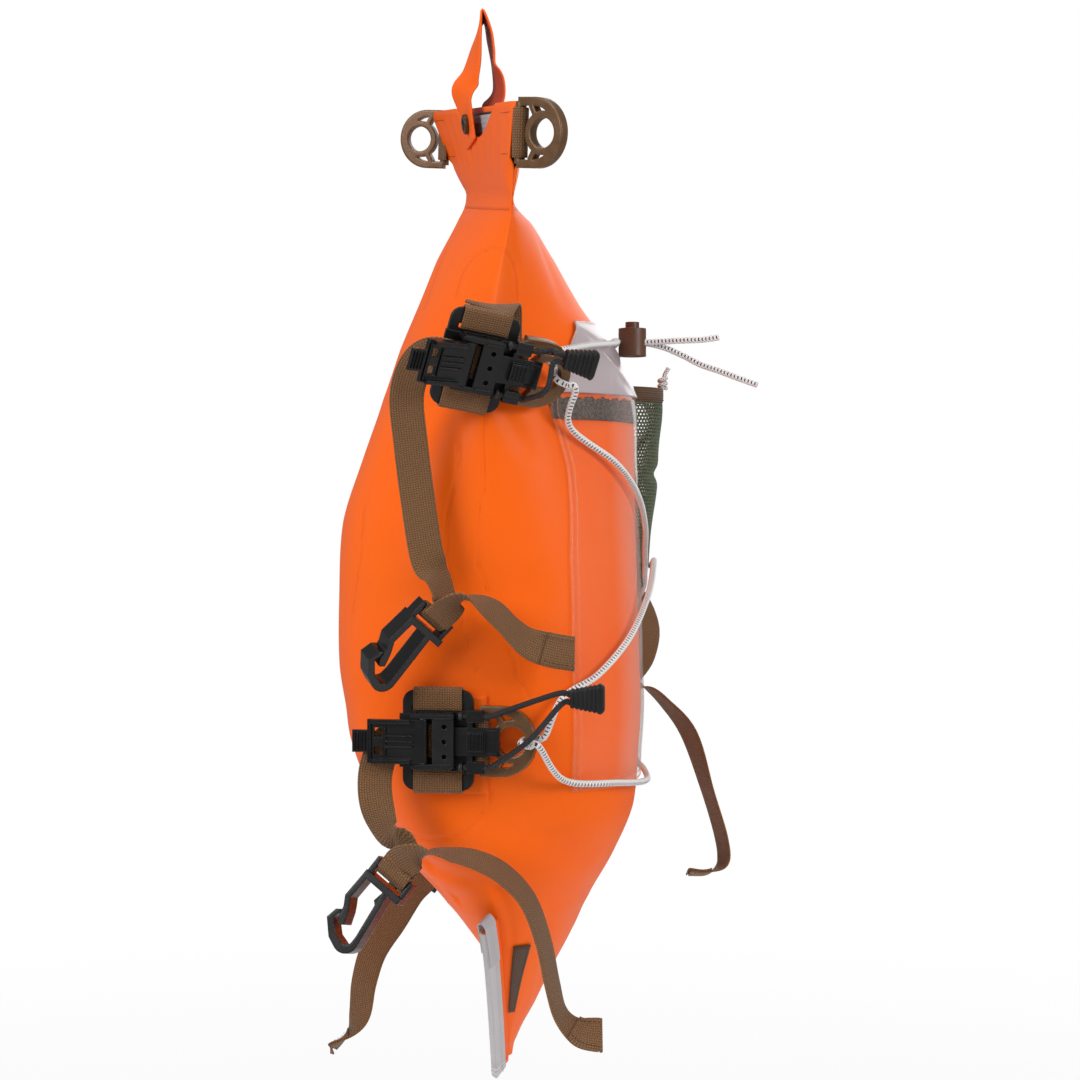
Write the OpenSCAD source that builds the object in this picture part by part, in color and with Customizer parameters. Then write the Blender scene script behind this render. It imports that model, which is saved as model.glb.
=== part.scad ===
// Kayak deck dry bag, hung by its pull loop: +Z up, +X the map-window side, -Y the near buckles.
// The origin is the fold of the pull loop, where the hanging hook goes.

/* [Bag body] */
// Height of the body from the neck line to the bow tip
body_h = 565; // [520:5:620]
// Width of the body, side weld to side weld
body_w = 280; // [264:2:296]
// How far the deck panel bulges from the side welds
deck_bulge = 97; // [86:1:104]
// How far the top panel bulges from the side welds
top_bulge = 96; // [86:1:104]
// Depth of the neck line below the hang point
neck_drop = 116; // [108:1:124]
// Thickness of the coated fabric
fabric_t = 1.2; // [0.8:0.1:1.6]
// Width of the flat welded fin around the bow
fin_w = 14; // [8:1:20]

/* [Mouth] */
// Height of the mouth skirts above the neck line
skirt_h = 56; // [50:1:60]
// Width of the mouth across
mouth_w = 268; // [250:2:280]
// Turn of the mouth about the vertical
mouth_turn = 13.5; // [8:0.5:16]
// Tilt of the mouth, far end up
mouth_tilt = 9.5; // [4:0.5:12]
// Height of a press-seal strip
seal_h = 22; // [16:1:26]
// Thickness of a press-seal strip
seal_t = 2.6; // [2:0.1:3]
// Width of the pull loop's strap
loop_w = 36; // [30:1:40]
// Diameter of the pull loop's snap rivets
rivet_d = 13; // [10:0.5:16]

/* [D rings] */
// Height of a D ring along its bar
ring_h = 41; // [40:0.5:46]
// Distance from the bar's axis to the nose of a D ring
ring_reach = 33; // [31:0.5:36]
// Diameter of the round hole in a D ring
ring_hole_d = 17.5; // [14:0.5:18]
// Thickness of a D ring
ring_t = 6; // [5:0.5:6]
// Diameter of a D ring's bar
ring_bar_d = 6.4; // [6:0.1:7]

/* [Buckles] */
// Width of the 30 mm webbing that ties plates and rings down
tie_w = 29; // [26:0.5:30]
// Thickness of all webbing
web_t = 1.5; // [1.2:0.1:1.7]
// Height of a buckle's base plate
plate_h = 58.6; // [56:0.2:64]
// Width of a buckle's base plate
plate_w = 42; // [40:0.5:43]
// Thickness of a buckle's base plate
plate_t = 3; // [2.4:0.1:3]
// Width of the buckle frame over its walls
frame_w = 31.4; // [30:0.2:33]
// Length of the cam lever from pin to tab end
lever_l = 41; // [36:0.5:46]
// Diameter of the lever pin
pin_d = 3.2; // [2.6:0.1:3.4]
// Travel of the release slider
slider_travel = 10; // [6:1:12]
// Diameter of the rip cord
rip_d = 3.4; // [3:0.1:4]

/* [Straps and hooks] */
// Width of the deck straps
strap_w = 20; // [18:0.5:22]
// Diameter of a deck hook's bar
hook_bar_d = 6.4; // [5.6:0.1:7]
// Thickness of a deck hook's moulded strip
hook_t = 3.6; // [3:0.1:4.4]
// Width of a deck hook's moulded strip
hook_strip_w = 13; // [10:0.5:15]

/* [Lacing] */
// Diameter of the elastic cord
cord_d = 4; // [3.4:0.1:4.4]
// Diameter of the cord lock's barrel
lock_d = 18; // [17:0.5:20]
// Length of the cord lock's barrel
lock_l = 18; // [16:0.5:22]
// Travel of the cord lock's plunger
plunger_travel = 3; // [1.5:0.5:3]

/* [Clearances] */
// Radial clearance of a running fit
run_fit = 0.06; // [0.02:0.01:0.1]
// Space left between soft pieces and their neighbours
soft_gap = 0.3; // [0.25:0.05:0.4]

/* [Hidden] */
$fn = 48;
ORANGE = "#F2601A";
GREY = "#8E8C90";
COYOTE = "#6E5133";
BLACK = "#26262A";

// ---------- curves and sweeps ----------
function cat(a, b, c, d, t) =
    0.5 * (2*b + (c - a)*t + (2*a - 5*b + 4*c - d)*t*t + (3*b - a - 3*c + d)*t*t*t);
function smooth(p, k) = [for (i = [0 : len(p) - 2]) each
    [for (j = [0 : k - 1]) cat(p[max(i - 1, 0)], p[i], p[i + 1], p[min(i + 2, len(p) - 1)], j / k)],
    p[len(p) - 1]];
function unit(v) = v / norm(v);
function along(p, i) = unit(p[min(i + 1, len(p) - 1)] - p[max(i - 1, 0)]);

// Faces of rings of n points, closed at both ends; ring points run anticlockwise about the path
function ring_faces(rows, n) = concat(
    [for (i = [0 : rows - 2], j = [0 : n - 1]) each
        let (a = i*n + j, b = i*n + (j + 1) % n, c = a + n, d = b + n) [[a, c, b], [b, c, d]]],
    [[for (j = [0 : n - 1]) j], [for (j = [n - 1 : -1 : 0]) (rows - 1)*n + j]]);

// Sweeps a closed 2D profile along path p; w gives each point's width direction
module sweep(p, w, profile) {
    rows = len(p);
    n = len(profile);
    pts = [for (i = [0 : rows - 1])
        let (t = along(p, i), x = unit(w[i] - (w[i] * t) * t), y = cross(t, x))
        for (q = profile) p[i] + q[0]*x + q[1]*y];
    polyhedron(pts, ring_faces(rows, n), convexity = 6);
}

// Flat webbing through hand-set stations of [point, width direction]
module ribbon(stations, width, thick, k = 3) {
    p = smooth([for (s = stations) s[0]], k);
    w = smooth([for (s = stations) unit(s[1])], k);
    h = width / 2;
    e = thick / 2;
    sweep(p, w, [[-h, -e], [h, -e], [h, e], [-h, e]]);
}

// Round cord through hand-set points
module cord(points, d, k = 3, sides = 8) {
    p = smooth(points, k);
    // a width direction carried along the path with no twist
    ups = [for (i = 0, u = unit(cross(along(p, 0), [0.31, 0.12, 0.94])); i < len(p);
            i = i + 1, u = i < len(p) ? unit(u - (u * along(p, i)) * along(p, i)) : u) u];
    sweep(p, ups, [for (a = [0 : sides - 1]) d/2 * [cos(360*a/sides), sin(360*a/sides)]]);
}

// Closed shell between two grids of points with the same rows and columns
module grid_shell(outer, inner) {
    r = len(outer);
    c = len(outer[0]);
    base = r * c;
    pts = concat([for (row = outer) each row], [for (row = inner) each row]);
    quads = [for (i = [0 : r - 2], j = [0 : c - 2]) each
        let (a = i*c + j, b = a + 1, d = a + c, e = d + 1)
        [[a, b, d], [b, e, d], [a + base, d + base, b + base], [b + base, d + base, e + base]]];
    edge = concat([for (j = [0 : c - 1]) j], [for (i = [1 : r - 1]) i*c + c - 1],
                  [for (j = [c - 2 : -1 : 0]) (r - 1)*c + j], [for (i = [r - 2 : -1 : 1]) i*c]);
    rim = [for (k = [0 : len(edge) - 1]) each
        let (a = edge[k], b = edge[(k + 1) % len(edge)])
        [[b, a, a + base], [b, a + base, b + base]]];
    polyhedron(pts, concat(quads, rim), convexity = 8);
}

// ---------- the body's own surface ----------
// Down the body: share of its height, seam X, deck bulge, top bulge, half width (shares of the
// driving sizes), two roundness numbers, turn and tilt of the section
BODY = [
    [0.000,  3.0, 0.036, 0.036, 0.929, 2.0, 1.000, 8.0, 9.5],
    [0.034,  3.0, 0.186, 0.270, 0.936, 2.0, 1.000, 7.0, 8.5],
    [0.078,  3.5, 0.345, 0.440, 0.950, 2.0, 0.950, 5.0, 7.0],
    [0.131,  4.0, 0.478, 0.620, 0.966, 2.1, 0.880, 3.0, 5.0],
    [0.181,  4.5, 0.603, 0.825, 0.980, 2.1, 0.800, 1.5, 3.0],
    [0.237,  4.6, 0.715, 0.962, 0.990, 2.2, 0.700, 0.5, 1.5],
    [0.308,  4.8, 0.850, 0.972, 1.000, 2.4, 0.560, 0.0, 0.5],
    [0.379,  5.0, 0.975, 0.980, 1.000, 2.5, 0.460, 0.0, 0.0],
    [0.467,  5.2, 1.000, 0.993, 1.000, 2.6, 0.400, 0.0, 0.0],
    [0.538,  5.6, 1.000, 0.996, 1.000, 2.6, 0.385, 0.0, 0.0],
    [0.582,  6.0, 0.965, 1.000, 1.000, 2.6, 0.385, 0.0, 0.0],
    [0.628,  6.5, 0.923, 0.980, 0.995, 2.6, 0.385, 0.0, 0.0],
    [0.697,  7.5, 0.773, 0.937, 0.950, 2.5, 0.400, 0.0, 0.0],
    [0.750,  8.5, 0.603, 0.797, 0.870, 2.4, 0.450, 0.0, 0.0],
    [0.802, 11.0, 0.371, 0.604, 0.715, 2.3, 0.500, 0.0, 0.0],
    [0.839, 13.0, 0.220, 0.480, 0.590, 2.2, 0.560, 0.0, 0.0],
    [0.881, 14.3, 0.060, 0.339, 0.450, 2.1, 0.620, 0.0, 0.0],
    [0.927, 15.2, 0.040, 0.198, 0.285, 2.0, 0.700, 0.0, 0.0],
    [0.968, 15.8, 0.032, 0.068, 0.130, 2.0, 0.850, 0.0, 0.0],
    [0.989, 16.0, 0.026, 0.031, 0.050, 2.0, 1.000, 0.0, 0.0]];
half_w = body_w / 2;
// One section, smoothed between the rows of the table
function body_row(f) =
    let (n = len(BODY), k = max([for (i = [0 : n - 2]) BODY[i][0] <= f ? i : 0]),
         t = (f - BODY[k][0]) / (BODY[k + 1][0] - BODY[k][0]))
    cat(BODY[max(k - 1, 0)], BODY[k], BODY[k + 1], BODY[min(k + 2, n - 1)], min(max(t, 0), 1));
function place_row(r, f, p) =
    let (x = p[0] - r[1], y = p[1])
    [r[1] + x*cos(r[7]) - y*sin(r[7]), x*sin(r[7]) + y*cos(r[7]),
     -neck_drop - f*body_h + y*tan(r[8])];
// Point of the skin: side +1 is the top panel, -1 the deck panel; angle -90 near to 90 far;
// out is the distance outside the body's outer face
function skin(side, f, angle, out = 0) =
    let (r = body_row(f), u = sin(angle), bulge = side > 0 ? r[3]*top_bulge : r[2]*deck_bulge,
         b = r[4]*half_w, e = pow(max(1 - pow(abs(u), r[5]), 0), r[6]),
         nx = side * cos(angle), ny = sin(angle), a = max(bulge + out, 0.4))
    place_row(r, f, [r[1] + side*a*e, (b + out)*u]);
// A piece of skin between two distances from the body
module skin_patch(side, f_list, angles, near_out, far_out) {
    a = side > 0 ? angles : [for (i = [len(angles) - 1 : -1 : 0]) angles[i]];
    grid_shell([for (f = f_list) [for (g = a) skin(side, f, g, far_out)]],
               [for (f = f_list) [for (g = a) skin(side, f, g, near_out)]]);
}
// Shared grid lines, so that a patch on the skin bends exactly as the skin does
ROWS = [for (i = [0 : len(BODY) - 2]) each [BODY[i][0], (BODY[i][0] + BODY[i + 1][0]) / 2],
        BODY[len(BODY) - 1][0]];
ANGLES = [for (i = [0 : 16]) -90 + i*180/16];
function rows_from(a, b) = [for (f = ROWS) if (f >= a - 0.001 && f <= b + 0.001) f];
function angles_from(a, b) = [for (g = ANGLES) if (g >= a - 0.01 && g <= b + 0.01) g];
function z_of(f) = -neck_drop - f*body_h;

module deck_panel() color(ORANGE) skin_patch(-1, ROWS, ANGLES, -fabric_t, 0);
module top_panel() color(ORANGE) skin_patch(1, ROWS, ANGLES, -fabric_t, 0);

// ---------- bow fin, binding and label ----------
fin_start = 0.802;
FIN_ROWS = [for (f = ROWS) if (f >= fin_start - 0.001) f];
// Edge of the body round the bow, near side down to the tip and up the far side
fin_tip = [BODY[len(BODY) - 1][1], 0, z_of(0.995)];
FIN_EDGE = concat([for (f = FIN_ROWS) skin(1, f, -90)], [fin_tip],
                  [for (i = [len(FIN_ROWS) - 1 : -1 : 0]) skin(1, FIN_ROWS[i], 90)]);
// The fin leans towards the deck side by this share of its width
fin_lean = 0.75;
// Outward direction of the leaning fin at each point of its edge
FIN_OUT = [for (i = [0 : len(FIN_EDGE) - 1])
    unit(cross(along(FIN_EDGE, i), [1, 0, 0]) - [fin_lean, 0, 0])];
fin_t = 2 * fabric_t;
module fin_sweep(from, to, thick) {
    sweep(FIN_EDGE, FIN_OUT, [[from, -thick/2], [to, -thick/2], [to, thick/2], [from, thick/2]]);
}
// Its root stands clear of the panels that it leans over
fin_root = 2.5 * soft_gap;
module bow_fin() color(ORANGE) fin_sweep(fin_root, fin_w, fin_t);
binding_t = 0.8;
binding_lap = 9;
// Tape folded over the fin's outer edge: a U section
module fin_binding() color(GREY) {
    i = fin_t/2 + soft_gap;
    o = i + binding_t;
    far = fin_w + soft_gap;
    p = [for (k = [0 : len(FIN_EDGE) - 1]) FIN_EDGE[k]];
    sweep(p, FIN_OUT, [[fin_w - binding_lap, -o], [far + binding_t, -o], [far + binding_t, o],
                       [fin_w - binding_lap, o], [fin_w - binding_lap, i], [far, i],
                       [far, -i], [fin_w - binding_lap, -i]]);
}
// Bare sewn label on the top panel's near bow
module label_tab() color(COYOTE)
    skin_patch(1, rows_from(0.838, 0.928), angles_from(-79, -56), soft_gap, soft_gap + 0.9);

// ---------- mouth ----------
neck_x = BODY[0][1];
mouth_lean = -8.5;
// A point of the mouth: h above the neck line, y across, x out of its middle plane
function mouth(h, y, x) =
    let (s = h / skirt_h, turn = BODY[0][7] + s*(mouth_turn - BODY[0][7]),
         c = [neck_x + mouth_lean*s, 0, -neck_drop + h])
    c + [x*cos(turn) - y*sin(turn)*cos(mouth_tilt), x*sin(turn) + y*cos(turn)*cos(mouth_tilt),
         y*sin(mouth_tilt)];
skirt_out = seal_t + soft_gap*1.5;
MOUTH_Y = [for (i = [0 : 16]) -1 + i/8];
dip_at = -50;
dip_w = 34;
dip_h = 20;
// The deck skirt's upper edge gapes beside the pull loop and bares its seal strip
function deck_top(y) = skirt_h - dip_h * (abs(y - dip_at) < dip_w ? pow(cos(90*(y - dip_at)/dip_w), 2) : 0);
function mouth_half(h) = BODY[0][4]*half_w*(1 - h/skirt_h) + mouth_w/2*h/skirt_h;
module skirt(side, top) {
    levels = [1, 0.75, 0.5, 0.25, 0];
    ys = side > 0 ? MOUTH_Y : [for (i = [16 : -1 : 0]) MOUTH_Y[i]];
    high = [for (q = ys) top ? skirt_h : deck_top(q*mouth_w/2)];
    grid_shell([for (s = levels) [for (i = [0 : 16])
                   let (h = soft_gap + s*(high[i] - soft_gap)) mouth(h, ys[i]*mouth_half(h), side*(skirt_out + fabric_t))]],
               [for (s = levels) [for (i = [0 : 16])
                   let (h = soft_gap + s*(high[i] - soft_gap)) mouth(h, ys[i]*mouth_half(h), side*skirt_out)]]);
}
// A flat piece between the skirts, bent with them
module mouth_strip(side, h, y, x, lean = 0) {
    hs = [for (i = [4 : -1 : 0]) h[0] + (h[1] - h[0])*i/4];
    ys = side > 0 ? [for (i = [0 : 8]) y[0] + (y[1] - y[0])*i/8] : [for (i = [8 : -1 : 0]) y[0] + (y[1] - y[0])*i/8];
    grid_shell([for (a = hs) [for (b = ys) mouth(a, b + lean*(a - ring_level), side*x[1])]],
               [for (a = hs) [for (b = ys) mouth(a, b + lean*(a - ring_level), side*x[0])]]);
}
module deck_skirt() color(ORANGE) skirt(-1, false);
module top_skirt() color(ORANGE) skirt(1, true);
// Rigid frame of the D rings, part of the way down the mouth
ring_level = 37;
module at_mouth() translate(mouth(ring_level, 0, 0))
    rotate([mouth_tilt, 0, BODY[0][7] + ring_level/skirt_h*(mouth_turn - BODY[0][7])]) children();
seal_half = mouth_w/2 - 14;
seal_top = skirt_h - 4;
module seal(side) mouth_strip(side, [seal_top - seal_h, seal_top], [-seal_half, seal_half],
    [soft_gap/2, soft_gap/2 + seal_t]);
module deck_seal() color(GREY) seal(-1);
module top_seal() color(GREY) seal(1);

// Pull loop: one strap of coated fabric over both skirts, folded at the hang point
loop_t = 1.6;
LOOP_DECK = [[[0, 0, -loop_t/2], [0, 1, 0]], [[-3.9, 0, -16], [-0.17, 1, 0]], [[-7.2, 0, -34], [-0.36, 1, 0]],
             [[-11.6, 0, -46], [-0.58, 1, 0.06]], [[-12.2, 0, -56], [-0.32, 1, 0.16]],
             [[-10.3, 0, -66], [-0.23, 1, 0.17]], [[-8.8, 0, -76], [-0.21, 1, 0.17]], [[-7.5, 0, -84], [-0.2, 1, 0.17]]];
LOOP_TOP = [[[0.4, 0, -loop_t/2], [0, 1, 0]], [[4.2, 0, -14], [-0.08, 1, 0]], [[6.6, -1, -28], [-0.06, 1, 0]],
            [[7.4, -3, -40], [-0.05, 1, 0]], [[8.4, -6, -50], [-0.3, 1, 0]], [[6.6, -7, -59], [-0.42, 1, 0.12]],
            [[3.1, -7, -68], [-0.23, 1, 0.16]], [[4.1, -7, -76], [-0.22, 1, 0.16]], [[5.5, -7, -86], [-0.2, 1, 0.16]]];
module pull_loop() color(ORANGE) {
    stations = concat([for (i = [len(LOOP_DECK) - 1 : -1 : 1]) LOOP_DECK[i]],
                      [[[0, 0, -loop_t/2], [0, 1, 0]]], [for (i = [1 : len(LOOP_TOP) - 1]) LOOP_TOP[i]]);
    ribbon(stations, loop_w, loop_t);
}
rivet_t = 1.6;
module loop_rivets() color(COYOTE) {
    translate((LOOP_DECK[5][0] + LOOP_DECK[6][0])/2) rotate([0, 0, mouth_turn - 1.8]) rotate([0, -98.5, 0])
        translate([0, 0, loop_t/2 + 0.25]) cylinder(h = rivet_t, d = rivet_d);
    translate(LOOP_TOP[7][0]) rotate([0, 0, mouth_turn - 1]) rotate([0, 82, 0])
        translate([0, 0, loop_t/2 + 0.25]) cylinder(h = rivet_t, d = rivet_d);
}

// ---------- D rings ----------
rail = 5;
ring_arc = ring_h / 2;
eye_x = ring_reach - rail/2 - ring_hole_d/2 - 3.2;
eye_r = ring_hole_d/2 + 4;
module ring_outline(inset) {
    r = ring_arc - inset;
    c = ring_reach - ring_arc;
    intersection() {
        translate([c, 0]) circle(r);
        translate([c, -r]) square([r + 1, 2*r]);
    }
    translate([0, -r]) square([c, 2*r]);
}
// Bar on the local Z axis, nose along +X
module d_ring() {
    rotate([90, 0, 0]) translate([0, 0, -ring_t/2]) linear_extrude(ring_t) difference() {
        union() {
            difference() {
                ring_outline(0);
                translate([-1, 0]) ring_outline(rail);
            }
            translate([eye_x, 0]) circle(eye_r);
            for (m = [-1, 1]) translate([eye_x, 0]) rotate(m*120) translate([eye_r - 1, -1.6])
                square([6.6, 3.2]);
        }
        translate([eye_x, 0]) circle(d = ring_hole_d);
        translate([-1, -tie_w/2 - 0.5]) square([1 + ring_bar_d/2 + web_t + 1.0, tie_w + 1]);
    }
    cylinder(h = ring_h - rail, d = ring_bar_d, center = true);
}
// Webbing round a ring's bar: a running loop and a flat foot that runs back along -X
module ring_keeper(foot) {
    ri = ring_bar_d/2 + run_fit;
    ro = ri + web_t;
    difference() {
        union() {
            cylinder(h = tie_w, r = ro, center = true);
            if (foot > 0) translate([-foot, ri, -tie_w/2]) cube([foot, web_t, tie_w]);
        }
        cylinder(h = tie_w + 2, r = ri, center = true);
    }
}
mouth_bar = mouth_w/2 + 7.4;
near_swing = 40;
far_swing = 60;
// Frames of the two mouth rings: +X runs straight out of the mouth's end
module at_ring_near() at_mouth() translate([0, -mouth_bar, 0]) rotate([0, 0, -90]) children();
module at_ring_far() at_mouth() translate([0, mouth_bar, 0]) rotate([0, 0, 90]) children();
// Webbing tab between the skirts, and its loop round the ring's bar
module mouth_keeper(side) {
    end = mouth_bar - ring_bar_d/2 - run_fit - web_t - 0.2;
    half = skirt_out - soft_gap;
    mouth_strip(1, [ring_level - tie_w/2, ring_level + tie_w/2],
        side > 0 ? [end - 12, end] : [-end, -end + 12], [-half, half], -tan(mouth_tilt));
}
module mouth_keeper_near() color(COYOTE) {
    mouth_keeper(-1);
    at_ring_near() ring_keeper(0);
}
module mouth_keeper_far() color(COYOTE) {
    mouth_keeper(1);
    at_ring_far() ring_keeper(0);
}
module mouth_ring_near() color(COYOTE) at_ring_near() rotate([0, 0, near_swing]) d_ring();
module mouth_ring_far() color(COYOTE) at_ring_far() rotate([0, 0, far_swing]) d_ring();

// ---------- map window and mesh pocket ----------
win_out = 1.4;
win_t = 0.6;
window_from = 0.237;
window_to = 0.663;
module map_window() color([0.93, 0.9, 0.9, 0.4])
    skin_patch(1, rows_from(window_from, window_to), angles_from(-67.8, 11.6), win_out, win_out + win_t);
module map_flap() color("#D8CCCC")
    skin_patch(1, rows_from(0.15, window_from), angles_from(-56.5, 11.6), win_out, win_out + win_t);
grip_t = 0.8;
// Between two rows of the skin, at the share t of the way down
function between_rows(t, g, out) = (1 - t)*skin(1, 0.237, g, out) + t*skin(1, 0.2725, g, out);
module map_grip_strip() color(GREY) {
    gs = angles_from(-67.8, 11.6);
    grid_shell([for (t = [0.15, 0.85]) [for (g = gs) between_rows(t, g, 0.3 + grip_t)]],
               [for (t = [0.15, 0.85]) [for (g = gs) between_rows(t, g, 0.3)]]);
}

// Mesh pocket on the far shoulder: a sheet that stands out at its open top and tapers downwards
pocket_from = 0.237;
pocket_to = 0.467;
pocket_bulge = 34;
pocket_t = 1.0;
pocket_g = 13;
pocket_wide = 30;
POCKET_ANGLES = [for (i = [0 : 12]) pocket_g + pocket_wide*i/12];
// Point of the pocket; extra is the distance further out
function pocket_point(f, g, extra) =
    let (s = (f - pocket_from) / (pocket_to - pocket_from), w = (g - pocket_g) / pocket_wide,
         bulge = pocket_bulge * pow(max(sin(180 * w), 0), 0.6) * (1 - 0.7*s) * (s > 0.99 ? 0 : 1))
    skin(1, f, g, 0.5) + (bulge + extra) * [0.95, 0.31, 0];
module mesh_pocket() color("#5E6A4E") {
    fs = rows_from(pocket_from, pocket_to);
    grid_shell([for (f = fs) [for (g = POCKET_ANGLES) pocket_point(f, g, pocket_t)]],
               [for (f = fs) [for (g = POCKET_ANGLES) pocket_point(f, g, 0)]]);
}
binding_h = 0.018;
module pocket_binding() color(COYOTE) {
    drop = [0, 0, body_h * (binding_h + 0.001)];
    rise = [0, 0, 0.5];
    grid_shell([for (d = [drop, rise]) [for (g = POCKET_ANGLES) pocket_point(pocket_from, g, pocket_t + 0.6) + d]],
               [for (d = [drop, rise]) [for (g = POCKET_ANGLES) pocket_point(pocket_from, g, -0.2) + d]]);
}

// ---------- buckles ----------
// Each buckle: side (-1 near, 1 far), share down the body, X, stand-off, roll and yaw
UPPER = 0;
LOWER = 1;
buckle_x = [-1, -22];
buckle_z = [-237, -458];
buckle_off = [16, 1.2];
buckle_roll = [10, 0];
buckle_yaw = [20, -10];
buckle_pitch = [19, 0];
module at_buckle(which, side) mirror([0, side > 0 ? 1 : 0, 0]) at_buckle_near(which) children();
module at_buckle_near(which)
    translate([buckle_x[which], -half_w - buckle_off[which], buckle_z[which]])
    rotate([0, buckle_roll[which], 0]) rotate([buckle_pitch[which], 0, buckle_yaw[which]]) children();
module at_all_buckles() for (which = [UPPER, LOWER], side = [-1, 1]) at_buckle(which, side) children();

slot_z = plate_h/2 - 10.8;
slot_h = 3.2;
corner = 7;
module plate() rotate([90, 0, 0]) linear_extrude(plate_t) difference() {
    union() {
        square([plate_w - 2*corner, plate_h], center = true);
        square([plate_w, plate_h - 2*corner], center = true);
        for (x = [-1, 1], z = [-1, 1])
            translate([x*(plate_w/2 - corner), z*(plate_h/2 - corner)]) circle(corner);
    }
    for (z = [-1, 1]) translate([0, z*(slot_z + slot_h/2 - 1.4)])
        square([tie_w + 2, slot_h], center = true);
}
// Webbing over a plate's end bar, with a foot that is sewn to the bag
slot_in = slot_z - 1.4;
module plate_keeper() {
    t = web_t;
    low = slot_in + soft_gap;
    high = plate_h/2 + soft_gap + t;
    translate([-tie_w/2, 0, 0]) difference() {
        translate([0, -plate_t - soft_gap - t, low]) cube([tie_w, plate_t + 2*soft_gap + 2*t, high - low]);
        translate([-1, -plate_t - soft_gap, low + t])
            cube([tie_w + 2, plate_t + 2*soft_gap, high - low - 2*t]);
    }
}
// Stations whose Y is counted from the side weld, in the part's frame
function beside(list) = [for (s = list) [s[0] - [0, half_w, 0], s[1]]];
// Ends of the upper tie-down webbing, from a plate's back to the bag: over its top, under its foot
TIE_FEET = [
    [[[7.5, -23, -208.5], [1, 0.3, -0.1]], [[9, -17, -206], [1, 0.25, -0.1]], [[11, -8, -205], [1, 0.15, 0]],
     [[12, -1.5, -208], [1, 0.1, 0]], [[12, 0.6, -217], [1, 0.1, 0]], [[12, 0.4, -226], [1, 0.1, 0]]],
    [[[-8, -4.2, -258.5], [1, 0.3, -0.1]], [[-5.5, -2.8, -253], [1, 0.2, -0.1]],
     [[-1, -1.6, -247], [1, 0, 0]], [[2, -1.4, -239], [1, 0, 0]]]];
module tie_foot(which, m) {
    if (which == UPPER) ribbon(beside(TIE_FEET[m]), tie_w, web_t);
    else at_buckle_near(LOWER) mirror([0, 0, m])
        ribbon([[[0, 1.05, slot_in + soft_gap - 0.2], [1, 0, 0]], [[0, 1.2, 13], [1, 0, 0]],
                [[0, 1.3, 8], [1, 0, 0]], [[0, 1.3, 3.5], [1, 0, 0]]], tie_w, web_t, 1);
}
module plates() color(BLACK) at_all_buckles() plate();
module plate_keepers() color(COYOTE) {
    at_all_buckles() for (m = [0, 1]) mirror([0, 0, m]) plate_keeper();
    for (side = [0, 1], which = [UPPER, LOWER], m = [0, 1]) mirror([0, side, 0]) tie_foot(which, m);
}

wall_t = 2.5;
inner_w = frame_w - 2*wall_t;
base_t = 2;
frame_top = plate_t + 11;
pin_x = -7.5;
pin_y = -plate_t - 8;
bridge_x = [-1, 11.5];
bridge_t = 2.5;
// Frame: floor, two side walls with pin holes, and the bridge with its three round holes
module buckle_frame() {
    floor_y = -plate_t - base_t;
    difference() {
        union() {
            translate([-22.5, floor_y, -frame_w/2]) cube([43.5, base_t, frame_w]);
            for (z = [-1, 1]) translate([-14, -frame_top, z > 0 ? inner_w/2 : -frame_w/2])
                cube([25.5, frame_top - plate_t - base_t + 0.1, wall_t]);
            translate([bridge_x[0], -frame_top, -frame_w/2 + 0.5])
                cube([bridge_x[1] - bridge_x[0], bridge_t, frame_w - 1]);
        }
        translate([pin_x, pin_y, -frame_w/2 - 1]) cylinder(h = frame_w + 2, d = pin_d + 2*run_fit);
        for (z = [-8.7, 0, 8.7]) translate([6, -frame_top - 1, z]) rotate([-90, 0, 0])
            cylinder(h = bridge_t + 2, d = 3);
    }
}
module buckle_frames() color(BLACK) at_all_buckles() buckle_frame();
module lever_pins() color("#9A9A9A") at_all_buckles()
    translate([pin_x, pin_y, -frame_w/2 + 0.2]) cylinder(h = frame_w - 0.4, d = pin_d);

knuckle_r = 3.6;
lever_gap = 0.4;
lever_hw = inner_w/2 - lever_gap;
lever_t = 2.4;
lever_rest = [20, 0];
tab_l = 9;
tab_w = 13;
rail_t = 2.4;
rail_rise = 3.4;
// Cam lever, closed against the frame; it lifts outward about its pin
module cam_lever() {
    top_y = pin_y - knuckle_r;
    x0 = pin_x - lever_l + tab_l;
    difference() {
        union() {
            translate([pin_x, pin_y, -lever_hw]) cylinder(h = 2*lever_hw, r = knuckle_r);
            translate([x0, top_y, -lever_hw]) cube([pin_x - x0, lever_t, 2*lever_hw]);
            translate([x0 - tab_l, top_y, -tab_w/2]) cube([tab_l + 1, lever_t, tab_w]);
            for (z = [-1, 1]) translate([x0 + 3, top_y - rail_rise, z > 0 ? lever_hw - rail_t : -lever_hw])
                rotate([90, 0, 0]) mirror([0, 0, 1]) cube([pin_x - x0 - 9, rail_t, rail_rise + 0.2]);
            translate([x0 + 12, top_y + lever_t - 0.1, -lever_hw + 2]) cube([12, 1.8, 2*lever_hw - 4]);
        }
        translate([pin_x, pin_y, -lever_hw - 1]) cylinder(h = 2*lever_hw + 2, d = pin_d + 2*run_fit);
        for (z = [-5.2, 5.2]) translate([x0 + 4, top_y - rail_rise - 1, z - 2.6])
            cube([5.2, lever_t + rail_rise + 3, 5.2]);
    }
}
// Turned out from its closed place about the pin
module at_lever(which, side) at_buckle(which, side) translate([pin_x, pin_y, 0])
    rotate([0, 0, lever_rest[which]]) translate([-pin_x, -pin_y, 0]) children();
module cam_lever_upper_near() color(BLACK) at_lever(UPPER, -1) cam_lever();
module cam_lever_upper_far() color(BLACK) at_lever(UPPER, 1) cam_lever();
module cam_lever_lower_near() color(BLACK) at_lever(LOWER, -1) cam_lever();
module cam_lever_lower_far() color(BLACK) at_lever(LOWER, 1) cam_lever();

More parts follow.
